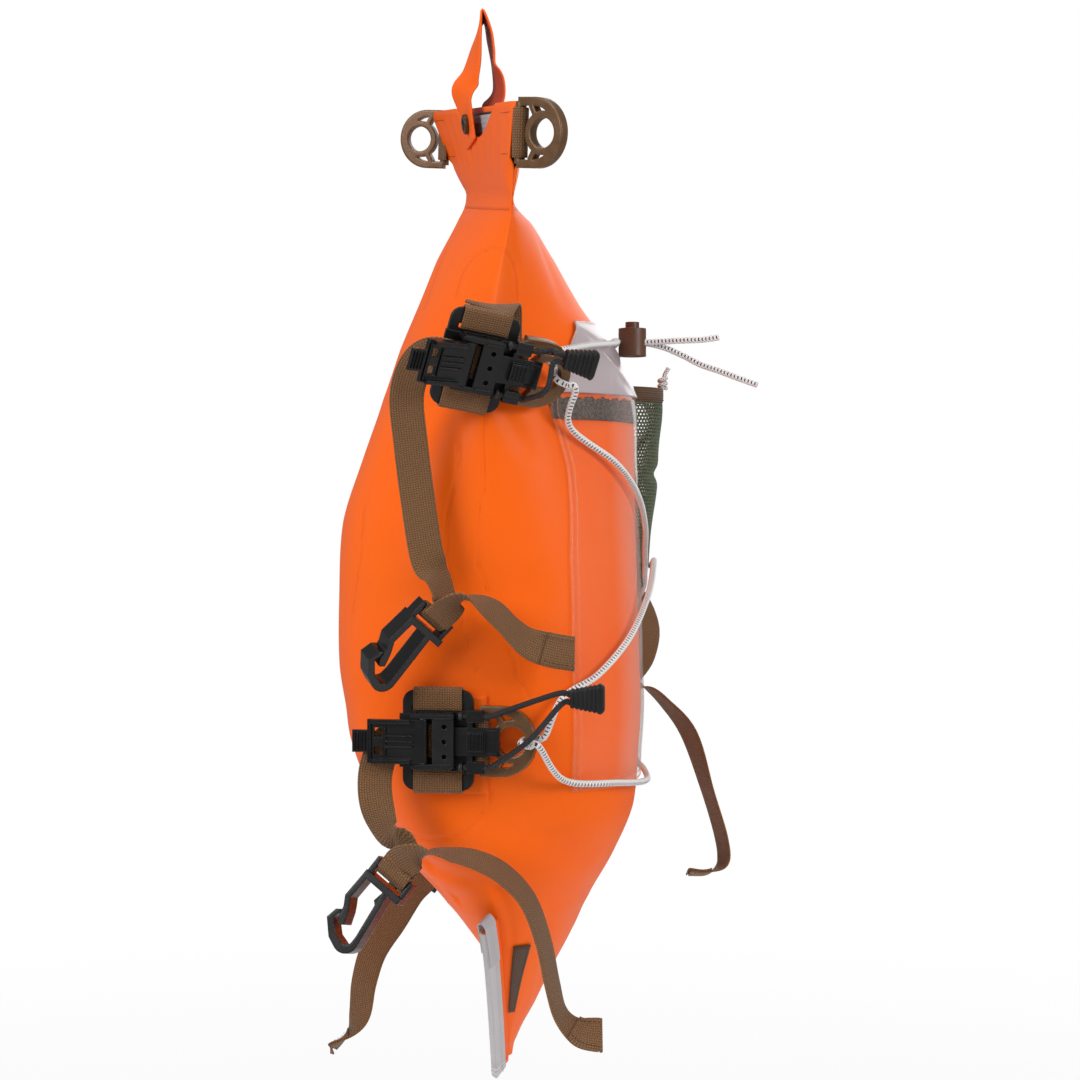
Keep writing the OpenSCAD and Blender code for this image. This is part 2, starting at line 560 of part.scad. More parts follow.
tongue_y = -10.2;
tongue_t = 2.3;
ear_z = frame_w/2 - 0.9;
ear_x = 19;
ear_l = 9.5;
rip_y = -10.6;
// Release slider: tongue in the frame's tunnel, latch block, cross bar and two eared ends
module release() {
    difference() {
        union() {
            translate([2, tongue_y, -8.2]) cube([35.8, tongue_t, 16.4]);
            translate([ear_x, tongue_y - 3.3, -5.5]) cube([10, 3.4, 11]);
            translate([ear_x, tongue_y, -ear_z - 3.6]) cube([3, tongue_t, 2*ear_z + 7.2]);
            for (z = [-1, 1]) translate([ear_x, -13, z*ear_z - 3.6]) cube([ear_l, 5, 7.2]);
        }
        for (z = [-1, 1]) translate([ear_x - 1, rip_y, z*ear_z]) rotate([0, 90, 0])
            cylinder(h = ear_l + 2, d = rip_d + 2*soft_gap);
    }
}
module release_upper_near() color(BLACK) at_buckle(UPPER, -1) release();
module release_upper_far() color(BLACK) at_buckle(UPPER, 1) release();
module release_lower_near() color(BLACK) at_buckle(LOWER, -1) release();
module release_lower_far() color(BLACK) at_buckle(LOWER, 1) release();

// Rip cord from the upper ear to its pull and back to the lower ear; q is the pull's narrow end
pull_at = [[46, -20, 16], [80, -13, 26]];
function rip_route(q) = [[ear_x - 2.4, rip_y, ear_z], [ear_x + 10.4, rip_y, ear_z], [ear_x + 13.5, rip_y, ear_z],
    (q + [ear_x + 12, rip_y, ear_z])/2 + [1, 0, 3], q + [-6, 0, 3], q + [0, 0, 2.2], q + [5, 0, 2.2],
    q + [8, 0, 0], q + [5, 0, -2.2], q + [0, 0, -2.2], q + [-6, 0, -4],
    (q + [ear_x + 12, rip_y, -ear_z])/2 + [1, -6.5, -4], [ear_x + 13.5, rip_y, -ear_z],
    [ear_x + 10.4, rip_y, -ear_z], [ear_x - 2.4, rip_y, -ear_z]];
module rip_cord(which, side) color(BLACK) at_buckle(which, side) {
    cord(rip_route(pull_at[which]), rip_d, 3);
    for (z = [-1, 1]) translate([ear_x - 5.2, rip_y, z*ear_z]) rotate([0, 90, 0])
        cylinder(h = 2.6, d = rip_d + 2.2);
}
module rip_cord_upper_near() rip_cord(UPPER, -1);
module rip_cord_upper_far() rip_cord(UPPER, 1);
module rip_cord_lower_near() rip_cord(LOWER, -1);
module rip_cord_lower_far() rip_cord(LOWER, 1);
pull_l = 18;
module rip_pull() difference() {
    rotate([90, 0, 0]) linear_extrude(8, center = true)
        polygon([[0, -5.5], [pull_l, -9], [pull_l + 1.5, -7], [pull_l + 1.5, 7], [pull_l, 9], [0, 5.5]]);
    for (z = [-2.2, 2.2]) translate([-1, 0, z]) rotate([0, 90, 0]) cylinder(h = 12.4, d = rip_d + 2*soft_gap);
    translate([-1, -rip_d/2 - soft_gap, -2.2]) cube([12.4, rip_d + 2*soft_gap, 4.4]);
}
module at_pull(which, side) color(BLACK) at_buckle(which, side) translate(pull_at[which]) rip_pull();
module rip_pull_upper_near() at_pull(UPPER, -1);
module rip_pull_upper_far() at_pull(UPPER, 1);
module rip_pull_lower_near() at_pull(LOWER, -1);
module rip_pull_lower_far() at_pull(LOWER, 1);

lace_bar_x = 26;
lace_bar_y = -2.8;
lace_swing = [6, -4];
module lacing_rings() color(COYOTE) for (which = [UPPER, LOWER], side = [-1, 1]) at_buckle(which, side)
    translate([lace_bar_x, lace_bar_y, 0]) rotate([0, 0, lace_swing[which]]) d_ring();
module ring_keepers() color(COYOTE) at_all_buckles()
    translate([lace_bar_x, lace_bar_y, 0]) ring_keeper(10.5);
module buckle_patches() color(ORANGE) {
    skin_patch(-1, rows_from(0.56, 0.67), angles_from(-90, -67), soft_gap, soft_gap + 0.8);
    skin_patch(-1, rows_from(0.56, 0.67), angles_from(67, 90), soft_gap, soft_gap + 0.8);
}

// ---------- straps, hooks and tails ----------
// Hook bar centre (Y from the side weld), roll and yaw: upper near, upper far, lower near, lower
// far (far ones mirrored)
hook_at = [[-25, -18, -385], [90, -20, -452], [-47, -16, -535], [-44, -14, -578]];
hook_roll = [44, 40, 38, 38];
hook_yaw = [35, 20, -18, -18];
function hook_pos(i) = hook_at[i] - [0, half_w, 0];
module at_hook(i) mirror([0, i % 2, 0]) translate(hook_pos(i))
    rotate([0, hook_roll[i], 0]) rotate([0, 0, hook_yaw[i]]) children();
function bar_dir(i) = let (c = cos(hook_yaw[i])) [c*cos(hook_roll[i]), sin(hook_yaw[i]), -c*sin(hook_roll[i])];
wrap_ri = hook_bar_d/2 + run_fit;
wrap_ro = wrap_ri + web_t;
cheek = 3;
cheek_in = strap_w/2 + 0.7;
// Bar on the local X axis, hook loop hanging along -Z with its throat at the left
module deck_hook() {
    rotate([0, 90, 0]) cylinder(h = 2*cheek_in + 1, d = hook_bar_d, center = true);
    for (x = [-1, 1]) translate([x > 0 ? cheek_in : -cheek_in - cheek, -4, -11]) cube([cheek, 8, 14.2]);
    rotate([90, 0, 0]) linear_extrude(hook_strip_w, center = true) {
        t = hook_t;
        translate([-cheek_in - cheek, -11]) square([2*cheek_in + 2*cheek, t + 0.6]);
        // spring gate: down the left side, a notch inwards and its lip
        polygon([[-13.7, -10], [-14.4, -26], [-11, -31.5], [-9.5, -38], [-6.6, -41.5], [-3.8, -39.5],
                 [-6.4, -32.5], [-8, -29.5], [-10.8, -25], [-10.2, -10]]);
        // rigid hook: down the right side, round the bottom and up to the outer lip
        polygon(concat([[2.2, -10], [5.8, -10], [9.6, -40]],
            [for (a = [0 : -15 : -105]) [2.2 + 8*cos(a), -45.4 + 8*sin(a)]],
            [[-6.8, -50.5], [-15, -42.5], [-13.6, -35.5], [-11, -33.6], [-10.6, -36.4], [-11.8, -40.4],
             [-4.6, -46.8]],
            [for (a = [-120 : 20 : 0]) [2 + 4*cos(a), -44.4 + 4*sin(a)]], [[6, -40]]));
    }
}
module hook_upper_near() color(BLACK) at_hook(0) deck_hook();
module hook_upper_far() color(BLACK) at_hook(1) deck_hook();
module hook_lower_near() color(BLACK) at_hook(2) deck_hook();
module hook_lower_far() color(BLACK) at_hook(3) deck_hook();

strap_y = -plate_t - base_t - 0.5 - web_t/2;
// Start of a strap inside its buckle, in the part's frame (near side)
function buckle_turn(which, p) =
    let (r = buckle_roll[which], y = buckle_yaw[which], t = buckle_pitch[which],
         b = p[1]*cos(t) - p[2]*sin(t), c = p[1]*sin(t) + p[2]*cos(t),
         d = p[0]*cos(y) - b*sin(y))
    [d*cos(r) + c*sin(r), p[0]*sin(y) + b*cos(y), c*cos(r) - d*sin(r)];
function buckle_point(which, p) =
    [buckle_x[which], -half_w - buckle_off[which], buckle_z[which]] + buckle_turn(which, p);
function buckle_up(which) = buckle_turn(which, [0, 0, 1]);
// Where a strap meets its hook's webbing wrap: above the bar
function hook_top(i, out) = let (r = hook_roll[i]) hook_pos(i) + out * [sin(r), 0, cos(r)];
STRAP_START = [for (which = [UPPER, LOWER]) [
    [buckle_point(which, [0, strap_y, 0]), buckle_up(which)],
    [buckle_point(which, [-14, strap_y, 0]), buckle_up(which)],
    [buckle_point(which, [-27, strap_y - 0.2, 0]), buckle_up(which)]]];
// Hand-set stations, their Y counted from the side weld
STRAPS = [
    concat(STRAP_START[UPPER], beside([
        [[-34, -24, -241], [-0.6, -0.2, 0.7]], [[-40, -16, -258], [-0.95, 0, 0.2]],
        [[-38, -11, -285], [-1, 0, 0]], [[-33.5, -12, -320], [-1, 0, -0.05]],
        [[-28, -15, -352], [-1, -0.1, 0]], [[-21.5, -16.5, -364], [-0.75, -0.5, 0.4]]]),
        [[hook_top(0, wrap_ro + 6), -bar_dir(0)], [hook_top(0, wrap_ro + 1), -bar_dir(0)]]),
    concat(STRAP_START[UPPER], beside([
        [[-34, -24, -242], [-0.7, -0.2, 0.6]], [[-36, -19, -259], [-1, 0, -0.2]],
        [[-20, -16, -286], [-0.7, 0, -0.8]], [[15, -18, -312], [-0.6, 0, -0.8]],
        [[60, -18, -345], [-0.6, 0.3, -0.8]], [[100, -17, -376], [-0.7, 0.5, -0.4]],
        [[115, -17, -402], [-0.8, 0.6, 0]], [[112, -18, -424], [-0.8, 0.5, 0.4]],
        [[101, -19, -438], [-0.8, 0.1, 0.6]]]),
        [[hook_top(1, wrap_ro + 6), -bar_dir(1)], [hook_top(1, wrap_ro + 1), -bar_dir(1)]]),
    concat(STRAP_START[LOWER], beside([
        [[-55, -4.7, -464], [-0.7, 0, 0.7]], [[-59, -5.2, -478], [-1, 0, 0.05]],
        [[-58, -9, -494], [-1, 0.1, -0.25]], [[-52, -11, -510], [-0.8, 0.6, -0.2]],
        [[-43.5, -15, -516], [-0.75, 0.4, 0.45]]]),
        [[hook_top(2, wrap_ro + 6), -bar_dir(2)], [hook_top(2, wrap_ro + 1), -bar_dir(2)]]),
    concat(STRAP_START[LOWER], beside([
        [[-55, -4.7, -464], [-0.7, 0, 0.7]], [[-59, -5.2, -480], [-1, 0, 0.05]],
        [[-58, -9, -506], [-1, 0.1, -0.2]], [[-50, -11, -534], [-0.9, 0.4, -0.2]],
        [[-40.5, -13.5, -559], [-0.75, 0.4, 0.45]]]),
        [[hook_top(3, wrap_ro + 6), -bar_dir(3)], [hook_top(3, wrap_ro + 1), -bar_dir(3)]])];
module straps() color(COYOTE) for (i = [0 : 3]) {
    mirror([0, i % 2, 0]) ribbon(STRAPS[i], strap_w, web_t);
    at_hook(i) rotate([0, 90, 0]) difference() {
        cylinder(h = strap_w, r = wrap_ro, center = true);
        cylinder(h = strap_w + 2, r = wrap_ri, center = true);
    }
}

// Free tails, relative to the hook bar: each leaves the bar beside its wrap, then follows points
// and width directions chosen by hand
function hook_turn(i, p) =
    let (r = hook_roll[i], y = hook_yaw[i], x = p[0]*cos(y) - p[1]*sin(y), w = p[0]*sin(y) + p[1]*cos(y))
    [x*cos(r) + p[2]*sin(r), w, p[2]*cos(r) - x*sin(r)];
tail_off = wrap_ro + soft_gap + web_t/2;
function tail_start(i, side, up) =
    [for (q = [[0, tail_off, -0.5*up], [0, tail_off + 0.4, 3.5*up], [0, tail_off + (up > 0 ? 0.8 : 2.4), 8*up]])
    [hook_turn(i, [q[0], side*q[1], q[2]]), hook_turn(i, [1, 0, 0])]];
TAILS = [
    concat(tail_start(0, -1, 1), [[[15, -8, 9], [0.4, 0.8, -0.3]], [[23, -6, 9], [0.2, 0.9, 0.1]],
     [[36, -2, 2], [0.1, 0.7, 0.7]], [[47, 1, -9], [-0.1, 0.5, 0.8]], [[56, 2, -16], [-0.2, 0.4, 0.9]],
     [[68, 2, -20], [0, 0.2, 1]], [[80, 2, -22], [0, 0.1, 1]]]),
    concat(tail_start(1, -1, 1), [[[15, -9, 6], [0.5, 0.7, -0.5]], [[26, -9, 2], [0.3, 0.9, 0]], [[38, -4, -8], [0.2, 0.9, 0.3]],
     [[55, 2, -30], [0.5, 0.8, 0.2]], [[68, 3, -70], [0.4, 0.9, 0]], [[78, 3, -104], [0.4, 0.9, 0]],
     [[79, 3, -122], [0.3, 0.9, 0]], [[68, 3, -130], [-0.1, 0.9, 0.2]], [[55, 3, -130], [0, 0.9, 0.3]]]),
    concat(tail_start(2, -1, 1), [[[12, -12, 13], [0.6, 0.4, -0.6]], [[21, -11, 14], [0.2, 0.9, -0.1]], [[31, -7, 13], [0, 0.9, 0.2]],
     [[46, -5, 10], [0.1, 0.9, 0.4]], [[62, -4, 2], [0.3, 0.9, 0.4]], [[77, -3, -14], [0.4, 0.9, 0.2]],
     [[86, -2, -38], [0.4, 0.9, 0.1]], [[91, -2, -62], [0.4, 0.9, 0]], [[96, -2, -80], [0.3, 0.9, 0.2]],
     [[106, -2, -90], [0.1, 0.7, 0.6]], [[118, -2, -92], [0, 0.5, 0.8]]]),
    concat(tail_start(3, 1, -1), [[[-12, 9.5, -17], [0.76, -0.2, -0.6]], [[-24, 10, -36], [0.8, -0.1, -0.6]],
     [[-38, 11, -57], [0.85, 0.2, -0.45]], [[-45, 12, -80], [0.9, 0.4, -0.1]], [[-48, 13, -102], [0.8, 0.6, 0]],
     [[-55, 14, -116], [0.4, 0.8, 0.3]], [[-67, 15, -126], [0.1, 0.8, 0.5]]])];
module tail(i) color(COYOTE) mirror([0, i % 2, 0]) translate(hook_pos(i)) ribbon(TAILS[i], strap_w, web_t);
module tail_upper_near() tail(0);
module tail_upper_far() tail(1);
module tail_lower_near() tail(2);
module tail_lower_far() tail(3);

// ---------- lacing ----------
lock_at = [97, 0, -213];
cord_side = cord_d/2 + 0.2;
// A point on a lacing ring: q runs along its nose, through its thickness and along its bar
function lace_point(which, q) = let (t = lace_swing[which])
    buckle_point(which, [lace_bar_x + q[0]*cos(t) - q[1]*sin(t), lace_bar_y + q[0]*sin(t) + q[1]*cos(t), q[2]]);
function flip(p) = [p[0], -p[1], p[2]];
// The cord's turn round a ring's nose: in at its front where first is 1, at its back where it is -1
TURN = [[36, -8, 0.3], [30.5, -6.3, 0.4], [25.2, -5.3, 0.2], [24.2, 0, 0], [25.2, 5.3, -0.2], [30.5, 6.3, -0.4],
        [36, 8, -0.6]];
function turn_at(which, lift, first) = [for (q = TURN) lace_point(which, [q[0], first*q[1], q[2]*lift])];
function flips(p) = [for (q = p) flip(q)];
function back(p) = [for (i = [len(p) - 1 : -1 : 0]) p[i]];
function laid(p) = [for (q = p) skin(1, q[0], q[1], q[2])];
// Rows of [share down the body, angle round it, distance out from it]
LACE_HEAD = [[0.175, -20, 7.5], [0.182, -42, 7], [0.196, -60, 7]];
LACE_CROSS = [[0.276, -58, 7.5], [0.312, -42, 6], [0.335, -32, 6], [0.358, -22, 5.6], [0.385, -11, 5.6], [0.41, 0, 5.6],
              [0.436, 11, 7], [0.46, 22, 8.5], [0.503, 42, 6], [0.54, 60, 7], [0.562, 73, 8]];
LACE_CROSS_2 = [[0.562, -73, 8], [0.54, -60, 7], [0.503, -42, 6], [0.458, -21, 7.5], [0.425, -4, 10.5], [0.425, 12, 13],
                [0.43, 27, 20], [0.415, 42, 19], [0.375, 54, 10], [0.32, 64, 8]];
LACE_FOOT = [[0.648, 72, 7.5], [0.656, 50, 6.5], [0.664, 25, 6.5], [0.667, 0, 6.5], [0.664, -25, 6.5], [0.656, -50, 6.5],
             [0.648, -72, 7]];
head = [lock_at + [2, -cord_side, 0], lock_at + [-10.5, -cord_side, 0], lock_at + [-12.5, -6, 0],
        lock_at + [-11, -16, -0.5]];
LACE = concat(head, laid(LACE_HEAD), turn_at(UPPER, 6, -1), laid(LACE_CROSS), flips(turn_at(LOWER, 5, 1)),
    laid(LACE_FOOT), turn_at(LOWER, -5, 1), laid(LACE_CROSS_2), back(flips(turn_at(UPPER, 6, -1))),
    [for (i = [2 : -1 : 0]) skin(1, LACE_HEAD[i][0], -LACE_HEAD[i][1], LACE_HEAD[i][2])], flips(back(head)));
module shock_cord() color("white") cord(LACE, cord_d, 1);
module shock_tail_level() color("white") cord([lock_at + [2.4, -cord_side, 0], lock_at + [10, -cord_side, 0],
    [118, -3, -212.5], [130, -4, -212], [142, -4, -211.5], [153, -4, -210]], cord_d, 1);
module shock_tail_low() color("white") cord([lock_at + [2.4, cord_side, 0], lock_at + [10, cord_side, -0.4],
    [118, 3, -216], [130, 4, -221], [142, 5, -227], [154, 6, -231], [166, 6, -235.5], [179, 7, -240]], cord_d, 1);

// Cord lock: barrel with a cross slot for two cords, sprung plunger with its own slot
slot_y = 2*cord_d + 1.2;
slot_top = cord_d/2 + 0.5;
stem_d = 9;
bore_d = lock_d - 5;
module cord_lock() color(COYOTE) translate(lock_at) difference() {
    cylinder(h = lock_l, d = lock_d, center = true);
    translate([0, 0, -lock_l/2 + 1.4]) cylinder(h = lock_l - 3, d = bore_d);
    cylinder(h = lock_l, d = stem_d + 2*run_fit);
    cube([lock_d + 2, slot_y, 2*slot_top], center = true);
}
module lock_plunger() color(COYOTE) translate(lock_at) difference() {
    union() {
        translate([0, 0, -slot_top - 0.9]) cylinder(h = lock_l/2 + slot_top - 1.2, d = bore_d - 2*run_fit);
        translate([0, 0, lock_l/2 - 2.4]) cylinder(h = plunger_travel + 3.6, d = stem_d);
    }
    translate([-lock_d/2, -slot_y/2, -slot_top + 0.2]) cube([lock_d, slot_y, 2*slot_top + plunger_travel]);
}
spring_turns = 3.5;
module lock_spring() color("#9A9A9A") {
    z0 = -lock_l/2 + 1.4 + 0.4;
    z1 = -slot_top - 0.9 - 0.4;
    n = 12*spring_turns;
    cord([for (i = [0 : n]) lock_at + [4.4*cos(30*i), 4.4*sin(30*i), z0 + (z1 - z0)*i/n]], 0.6, 1, 6);
}

deck_panel();
top_panel();
bow_fin();
fin_binding();
label_tab();
deck_skirt();
top_skirt();
deck_seal();
top_seal();
pull_loop();
loop_rivets();
mouth_keeper_near();
mouth_keeper_far();
mouth_ring_near();
mouth_ring_far();
map_window();
map_flap();
map_grip_strip();
buckle_patches();
mesh_pocket();
pocket_binding();
plates();
plate_keepers();
buckle_frames();
lever_pins();
ring_keepers();
lacing_rings();
cam_lever_upper_near();
cam_lever_upper_far();
cam_lever_lower_near();
cam_lever_lower_far();
release_upper_near();
release_upper_far();
release_lower_near();
release_lower_far();
rip_cord_upper_near();
rip_cord_upper_far();
rip_cord_lower_near();
rip_cord_lower_far();
rip_pull_upper_near();
rip_pull_upper_far();
rip_pull_lower_near();
rip_pull_lower_far();
straps();
hook_upper_near();
hook_upper_far();
hook_lower_near();
hook_lower_far();
tail_upper_near();
tail_upper_far();
tail_lower_near();
tail_lower_far();
shock_cord();
shock_tail_level();
shock_tail_low();
cord_lock();
lock_plunger();
lock_spring();
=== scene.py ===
import bmesh
import bpy
import math
import numpy as np
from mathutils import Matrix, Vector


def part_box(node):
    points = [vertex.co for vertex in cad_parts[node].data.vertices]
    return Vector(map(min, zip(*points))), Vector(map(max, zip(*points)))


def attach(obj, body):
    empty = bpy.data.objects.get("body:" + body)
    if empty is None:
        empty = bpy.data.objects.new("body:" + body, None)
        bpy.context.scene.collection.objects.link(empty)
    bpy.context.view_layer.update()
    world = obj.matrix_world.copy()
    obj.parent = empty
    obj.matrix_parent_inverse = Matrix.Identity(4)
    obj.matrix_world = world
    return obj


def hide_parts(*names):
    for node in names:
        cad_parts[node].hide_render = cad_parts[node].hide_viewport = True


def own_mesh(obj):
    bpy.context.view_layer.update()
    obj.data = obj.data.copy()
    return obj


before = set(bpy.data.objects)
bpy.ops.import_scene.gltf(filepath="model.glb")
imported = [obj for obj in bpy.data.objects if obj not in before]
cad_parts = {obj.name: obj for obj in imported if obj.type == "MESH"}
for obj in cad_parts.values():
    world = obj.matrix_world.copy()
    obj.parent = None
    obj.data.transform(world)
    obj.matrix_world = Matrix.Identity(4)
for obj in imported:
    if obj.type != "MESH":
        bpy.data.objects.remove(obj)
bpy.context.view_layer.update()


# ---- Studio ----
# The bag hangs from its loop over a pale floor, in soft light from both sides and above, at a
# level where a colour comes out as it is written. Behind it the room is white.
def fill(tree, node, **links):
    """Puts numbers, colours or other nodes' outputs into a node's sockets, by name or as i0, i1 and so on"""
    for key, value in links.items():
        socket = node.inputs[int(key[1:]) if key[0] == "i" and key[1:].isdigit() else key.replace("_", " ")]
        if isinstance(value, bpy.types.NodeSocket):
            tree.links.new(value, socket)
        else:
            socket.default_value = value


def add(tree, kind, settings=None, **links):
    """One node, its settings, and what goes into its sockets"""
    node = tree.nodes.new(kind)
    for key, value in (settings or {}).items():
        setattr(node, key, value)
    fill(tree, node, **links)
    return node


def calc(tree, operation, *values):
    """What a maths node makes of the values"""
    links = {"i%d" % k: value for k, value in enumerate(values)}
    return add(tree, "ShaderNodeMath", {"operation": operation}, **links).outputs[0]


def remap(tree, value, low, high, start, end, smooth=False):
    """The value's way from low to high, as a way from start to end"""
    settings = {"interpolation_type": "SMOOTHSTEP"} if smooth else None
    return add(tree, "ShaderNodeMapRange", settings, i0=value, i1=low, i2=high, i3=start, i4=end).outputs[0]


def placed(name, data):
    """A new object in the scene"""
    made = bpy.data.objects.new(name, data)
    bpy.context.scene.collection.objects.link(made)
    return made


FLOOR_R, FLOOR_Z = 1.5, -0.80
FLOOR_SEEN = 0.84
AIM = np.array([0.02, 0.0, -0.34])
world = bpy.data.worlds.new("white_room")
bpy.context.scene.world = world
world.use_nodes = True
sky = world.node_tree
sky.nodes.clear()
rays = add(sky, "ShaderNodeLightPath")
seen = calc(sky, "MAXIMUM", rays.outputs["Is Camera Ray"], rays.outputs["Is Transmission Ray"])
glow, white, half = [add(sky, "ShaderNodeBackground", Color=(1, 1, 1, 1), Strength=s).outputs[0]
                     for s in (0.45, 1.0, 0.26)]
mirrored = add(sky, "ShaderNodeMixShader", i0=rays.outputs["Is Glossy Ray"], i1=glow, i2=half)
room = add(sky, "ShaderNodeMixShader", i0=seen, i1=mirrored.outputs[0], i2=white)
add(sky, "ShaderNodeOutputWorld", Surface=room.outputs[0])

bpy.ops.mesh.primitive_circle_add(vertices=96, radius=FLOOR_R, fill_type="NGON", location=(0, 0, FLOOR_Z))
floor = bpy.context.object
floor.name = "floor"
paint = bpy.data.materials.new("floor_paint")
paint.use_nodes = True
floor.data.materials.append(paint)
tree = paint.node_tree
tree.nodes.clear()
place = add(tree, "ShaderNodeTexCoord")
reach = add(tree, "ShaderNodeVectorMath", {"operation": "LENGTH"}, i0=place.outputs["Object"]).outputs["Value"]
matt = add(tree, "ShaderNodeBsdfDiffuse", Color=(0.86, 0.86, 0.86, 1))
lit = add(tree, "ShaderNodeEmission", Color=(1, 1, 1, 1), Strength=1.0)
share = calc(tree, "MULTIPLY", add(tree, "ShaderNodeLightPath").outputs["Is Camera Ray"], FLOOR_SEEN)
top = add(tree, "ShaderNodeMixShader", i0=share, i1=matt.outputs[0], i2=lit.outputs[0])
clear = add(tree, "ShaderNodeBsdfTransparent")
faded = remap(tree, reach, 0.35, 1.2, 0.0, 1.0, smooth=True)
cover = add(tree, "ShaderNodeMixShader", i0=faded, i1=top.outputs[0], i2=clear.outputs[0])
add(tree, "ShaderNodeOutputMaterial", Surface=cover.outputs[0])

for name, at, size, power in [("left_softbox", (-1.35, -1.25, 0.35), 1.1, 18.5),
                              ("right_softbox", (1.35, -1.05, 0.15), 0.6, 10.5),
                              ("top_softbox", (0.1, -0.35, 1.25), 1.0, 8.0),
                              ("back_softbox", (0.35, 1.5, 0.3), 1.2, 5.0)]:
    lamp = bpy.data.lights.new(name, "AREA")
    lamp.shape = "DISK"
    lamp.size = size
    lamp.energy = power
    box = placed(name, lamp)
    box.location = at
    aim = AIM - np.array(at)
    box.rotation_euler = (math.acos(-aim[2] / np.linalg.norm(aim)), 0, math.atan2(aim[1], aim[0]) - math.pi / 2)

camera = placed("camera", bpy.data.cameras.new("camera"))
camera.location = (0.037, -1.4, -0.3413)
camera.rotation_euler = (math.pi / 2, 0, 0)
camera.data.lens = 71.8
camera.data.sensor_width = 36
bpy.context.scene.camera = camera
bpy.context.scene.view_settings.view_transform = "Standard"


# ---- Bag body ----
# Two panels of coated nylon, welded edge to edge round the bag, blown up tight in the middle and
# drawn in to a flat neck and a pointed bow. Patches and bands are welded on from inside and show as lines.
def colour(code):
    """Linear RGBA of an sRGB hex colour"""
    parts = [int(code[i:i + 2], 16) / 255 for i in (1, 3, 5)]
    return tuple(c / 12.92 if c <= 0.04045 else ((c + 0.055) / 1.055) ** 2.4 for c in parts) + (1.0,)


def finish_named(name):
    """A new material, its node tree and its main shader"""
    made = bpy.data.materials.new(name)
    made.use_nodes = True
    return made, made.node_tree, made.node_tree.nodes["Principled BSDF"]


def mixed(tree, share, first, second):
    """A mix of two colours, each an sRGB hex code, a linear colour or an output"""
    first, second = [colour(c) if isinstance(c, str) else c for c in (first, second)]
    return add(tree, "ShaderNodeMix", {"data_type": "RGBA"}, i0=share, i6=first, i7=second).outputs[2]


def noise(tree, scale, where=None, **more):
    """Noise at so many lumps a metre, in the piece's own coordinates unless others are given"""
    if where is None:
        where = add(tree, "ShaderNodeTexCoord").outputs["Object"]
    return add(tree, "ShaderNodeTexNoise", Vector=where, Scale=scale, **more).outputs[0]


def relief(tree, height, strength, depth, **more):
    """The normal of a surface with that height, depth in metres"""
    return add(tree, "ShaderNodeBump", Strength=strength, Distance=depth, Height=height, **more).outputs[0]


def piece(name, points, faces, uv, materials, which=None, smooth=True):
    """A mesh from points in millimetres, at the origin, with one UV pair in millimetres for each face corner"""
    mesh = bpy.data.meshes.new(name)
    mesh.from_pydata((np.asarray(points, float) * 0.001).tolist(), [], [list(map(int, f)) for f in faces])
    for m in materials:
        mesh.materials.append(m)
    if uv is not None:
        layer = mesh.uv_layers.new(name="UVMap")
        layer.data.foreach_set("uv", np.asarray(uv, float).ravel())
    if which is not None:
        mesh.polygons.foreach_set("material_index", np.asarray(which, int))
    if smooth:
        mesh.polygons.foreach_set("use_smooth", [True] * len(mesh.polygons))
    mesh.update()
    return placed(name, mesh)


def keep_shape(made):
    """Applies what the modifiers give, so that the piece is a plain mesh"""
    mesh = bpy.data.meshes.new_from_object(made.evaluated_get(bpy.context.evaluated_depsgraph_get()))
    made.modifiers.clear()
    made.data = mesh
    return made


BODY_H, BODY_W, DECK_BULGE, TOP_BULGE, NECK_DROP = 565.0, 280.0, 97.0, 96.0, 116.0
# Share of the height, seam X, deck bulge, top bulge, half width, two roundness numbers, turn, tilt
SECTIONS = np.array([
    [0.000, 3.0, 0.036, 0.036, 0.929, 2.0, 1.000, 8.0, 9.5], [0.034, 3.0, 0.186, 0.270, 0.936, 2.0, 1.000, 7.0, 8.5],
    [0.078, 3.5, 0.345, 0.440, 0.950, 2.0, 0.950, 5.0, 7.0], [0.131, 4.0, 0.478, 0.620, 0.966, 2.1, 0.880, 3.0, 5.0],
    [0.181, 4.5, 0.603, 0.825, 0.980, 2.1, 0.800, 1.5, 3.0], [0.237, 4.6, 0.715, 0.962, 0.990, 2.2, 0.700, 0.5, 1.5],
    [0.308, 4.8, 0.850, 0.972, 1.000, 2.4, 0.560, 0.0, 0.5], [0.379, 5.0, 0.975, 0.980, 1.000, 2.5, 0.460, 0.0, 0.0],
    [0.467, 5.2, 1.000, 0.993, 1.000, 2.6, 0.400, 0.0, 0.0], [0.538, 5.6, 1.000, 0.996, 1.000, 2.6, 0.385, 0.0, 0.0],
    [0.582, 6.0, 0.965, 1.000, 1.000, 2.6, 0.385, 0.0, 0.0], [0.628, 6.5, 0.923, 0.980, 0.995, 2.6, 0.385, 0.0, 0.0],
    [0.697, 7.5, 0.773, 0.937, 0.950, 2.5, 0.400, 0.0, 0.0], [0.750, 8.5, 0.603, 0.797, 0.870, 2.4, 0.450, 0.0, 0.0],
    [0.802, 11.0, 0.371, 0.604, 0.715, 2.3, 0.500, 0.0, 0.0], [0.839, 13.0, 0.220, 0.480, 0.590, 2.2, 0.560, 0.0, 0.0],
    [0.881, 14.3, 0.060, 0.339, 0.450, 2.1, 0.620, 0.0, 0.0], [0.927, 15.2, 0.040, 0.198, 0.285, 2.0, 0.700, 0.0, 0.0],
    [0.968, 15.8, 0.032, 0.068, 0.130, 2.0, 0.850, 0.0, 0.0], [0.989, 16.0, 0.026, 0.031, 0.050, 2.0, 1.000, 0.0, 0.0]])


def between(a, b, c, d, t):
    """A smooth step from b to c"""
    return 0.5 * (2 * b + (c - a) * t + (2 * a - 5 * b + 4 * c - d) * t * t + (3 * b - a - 3 * c + d) * t ** 3)


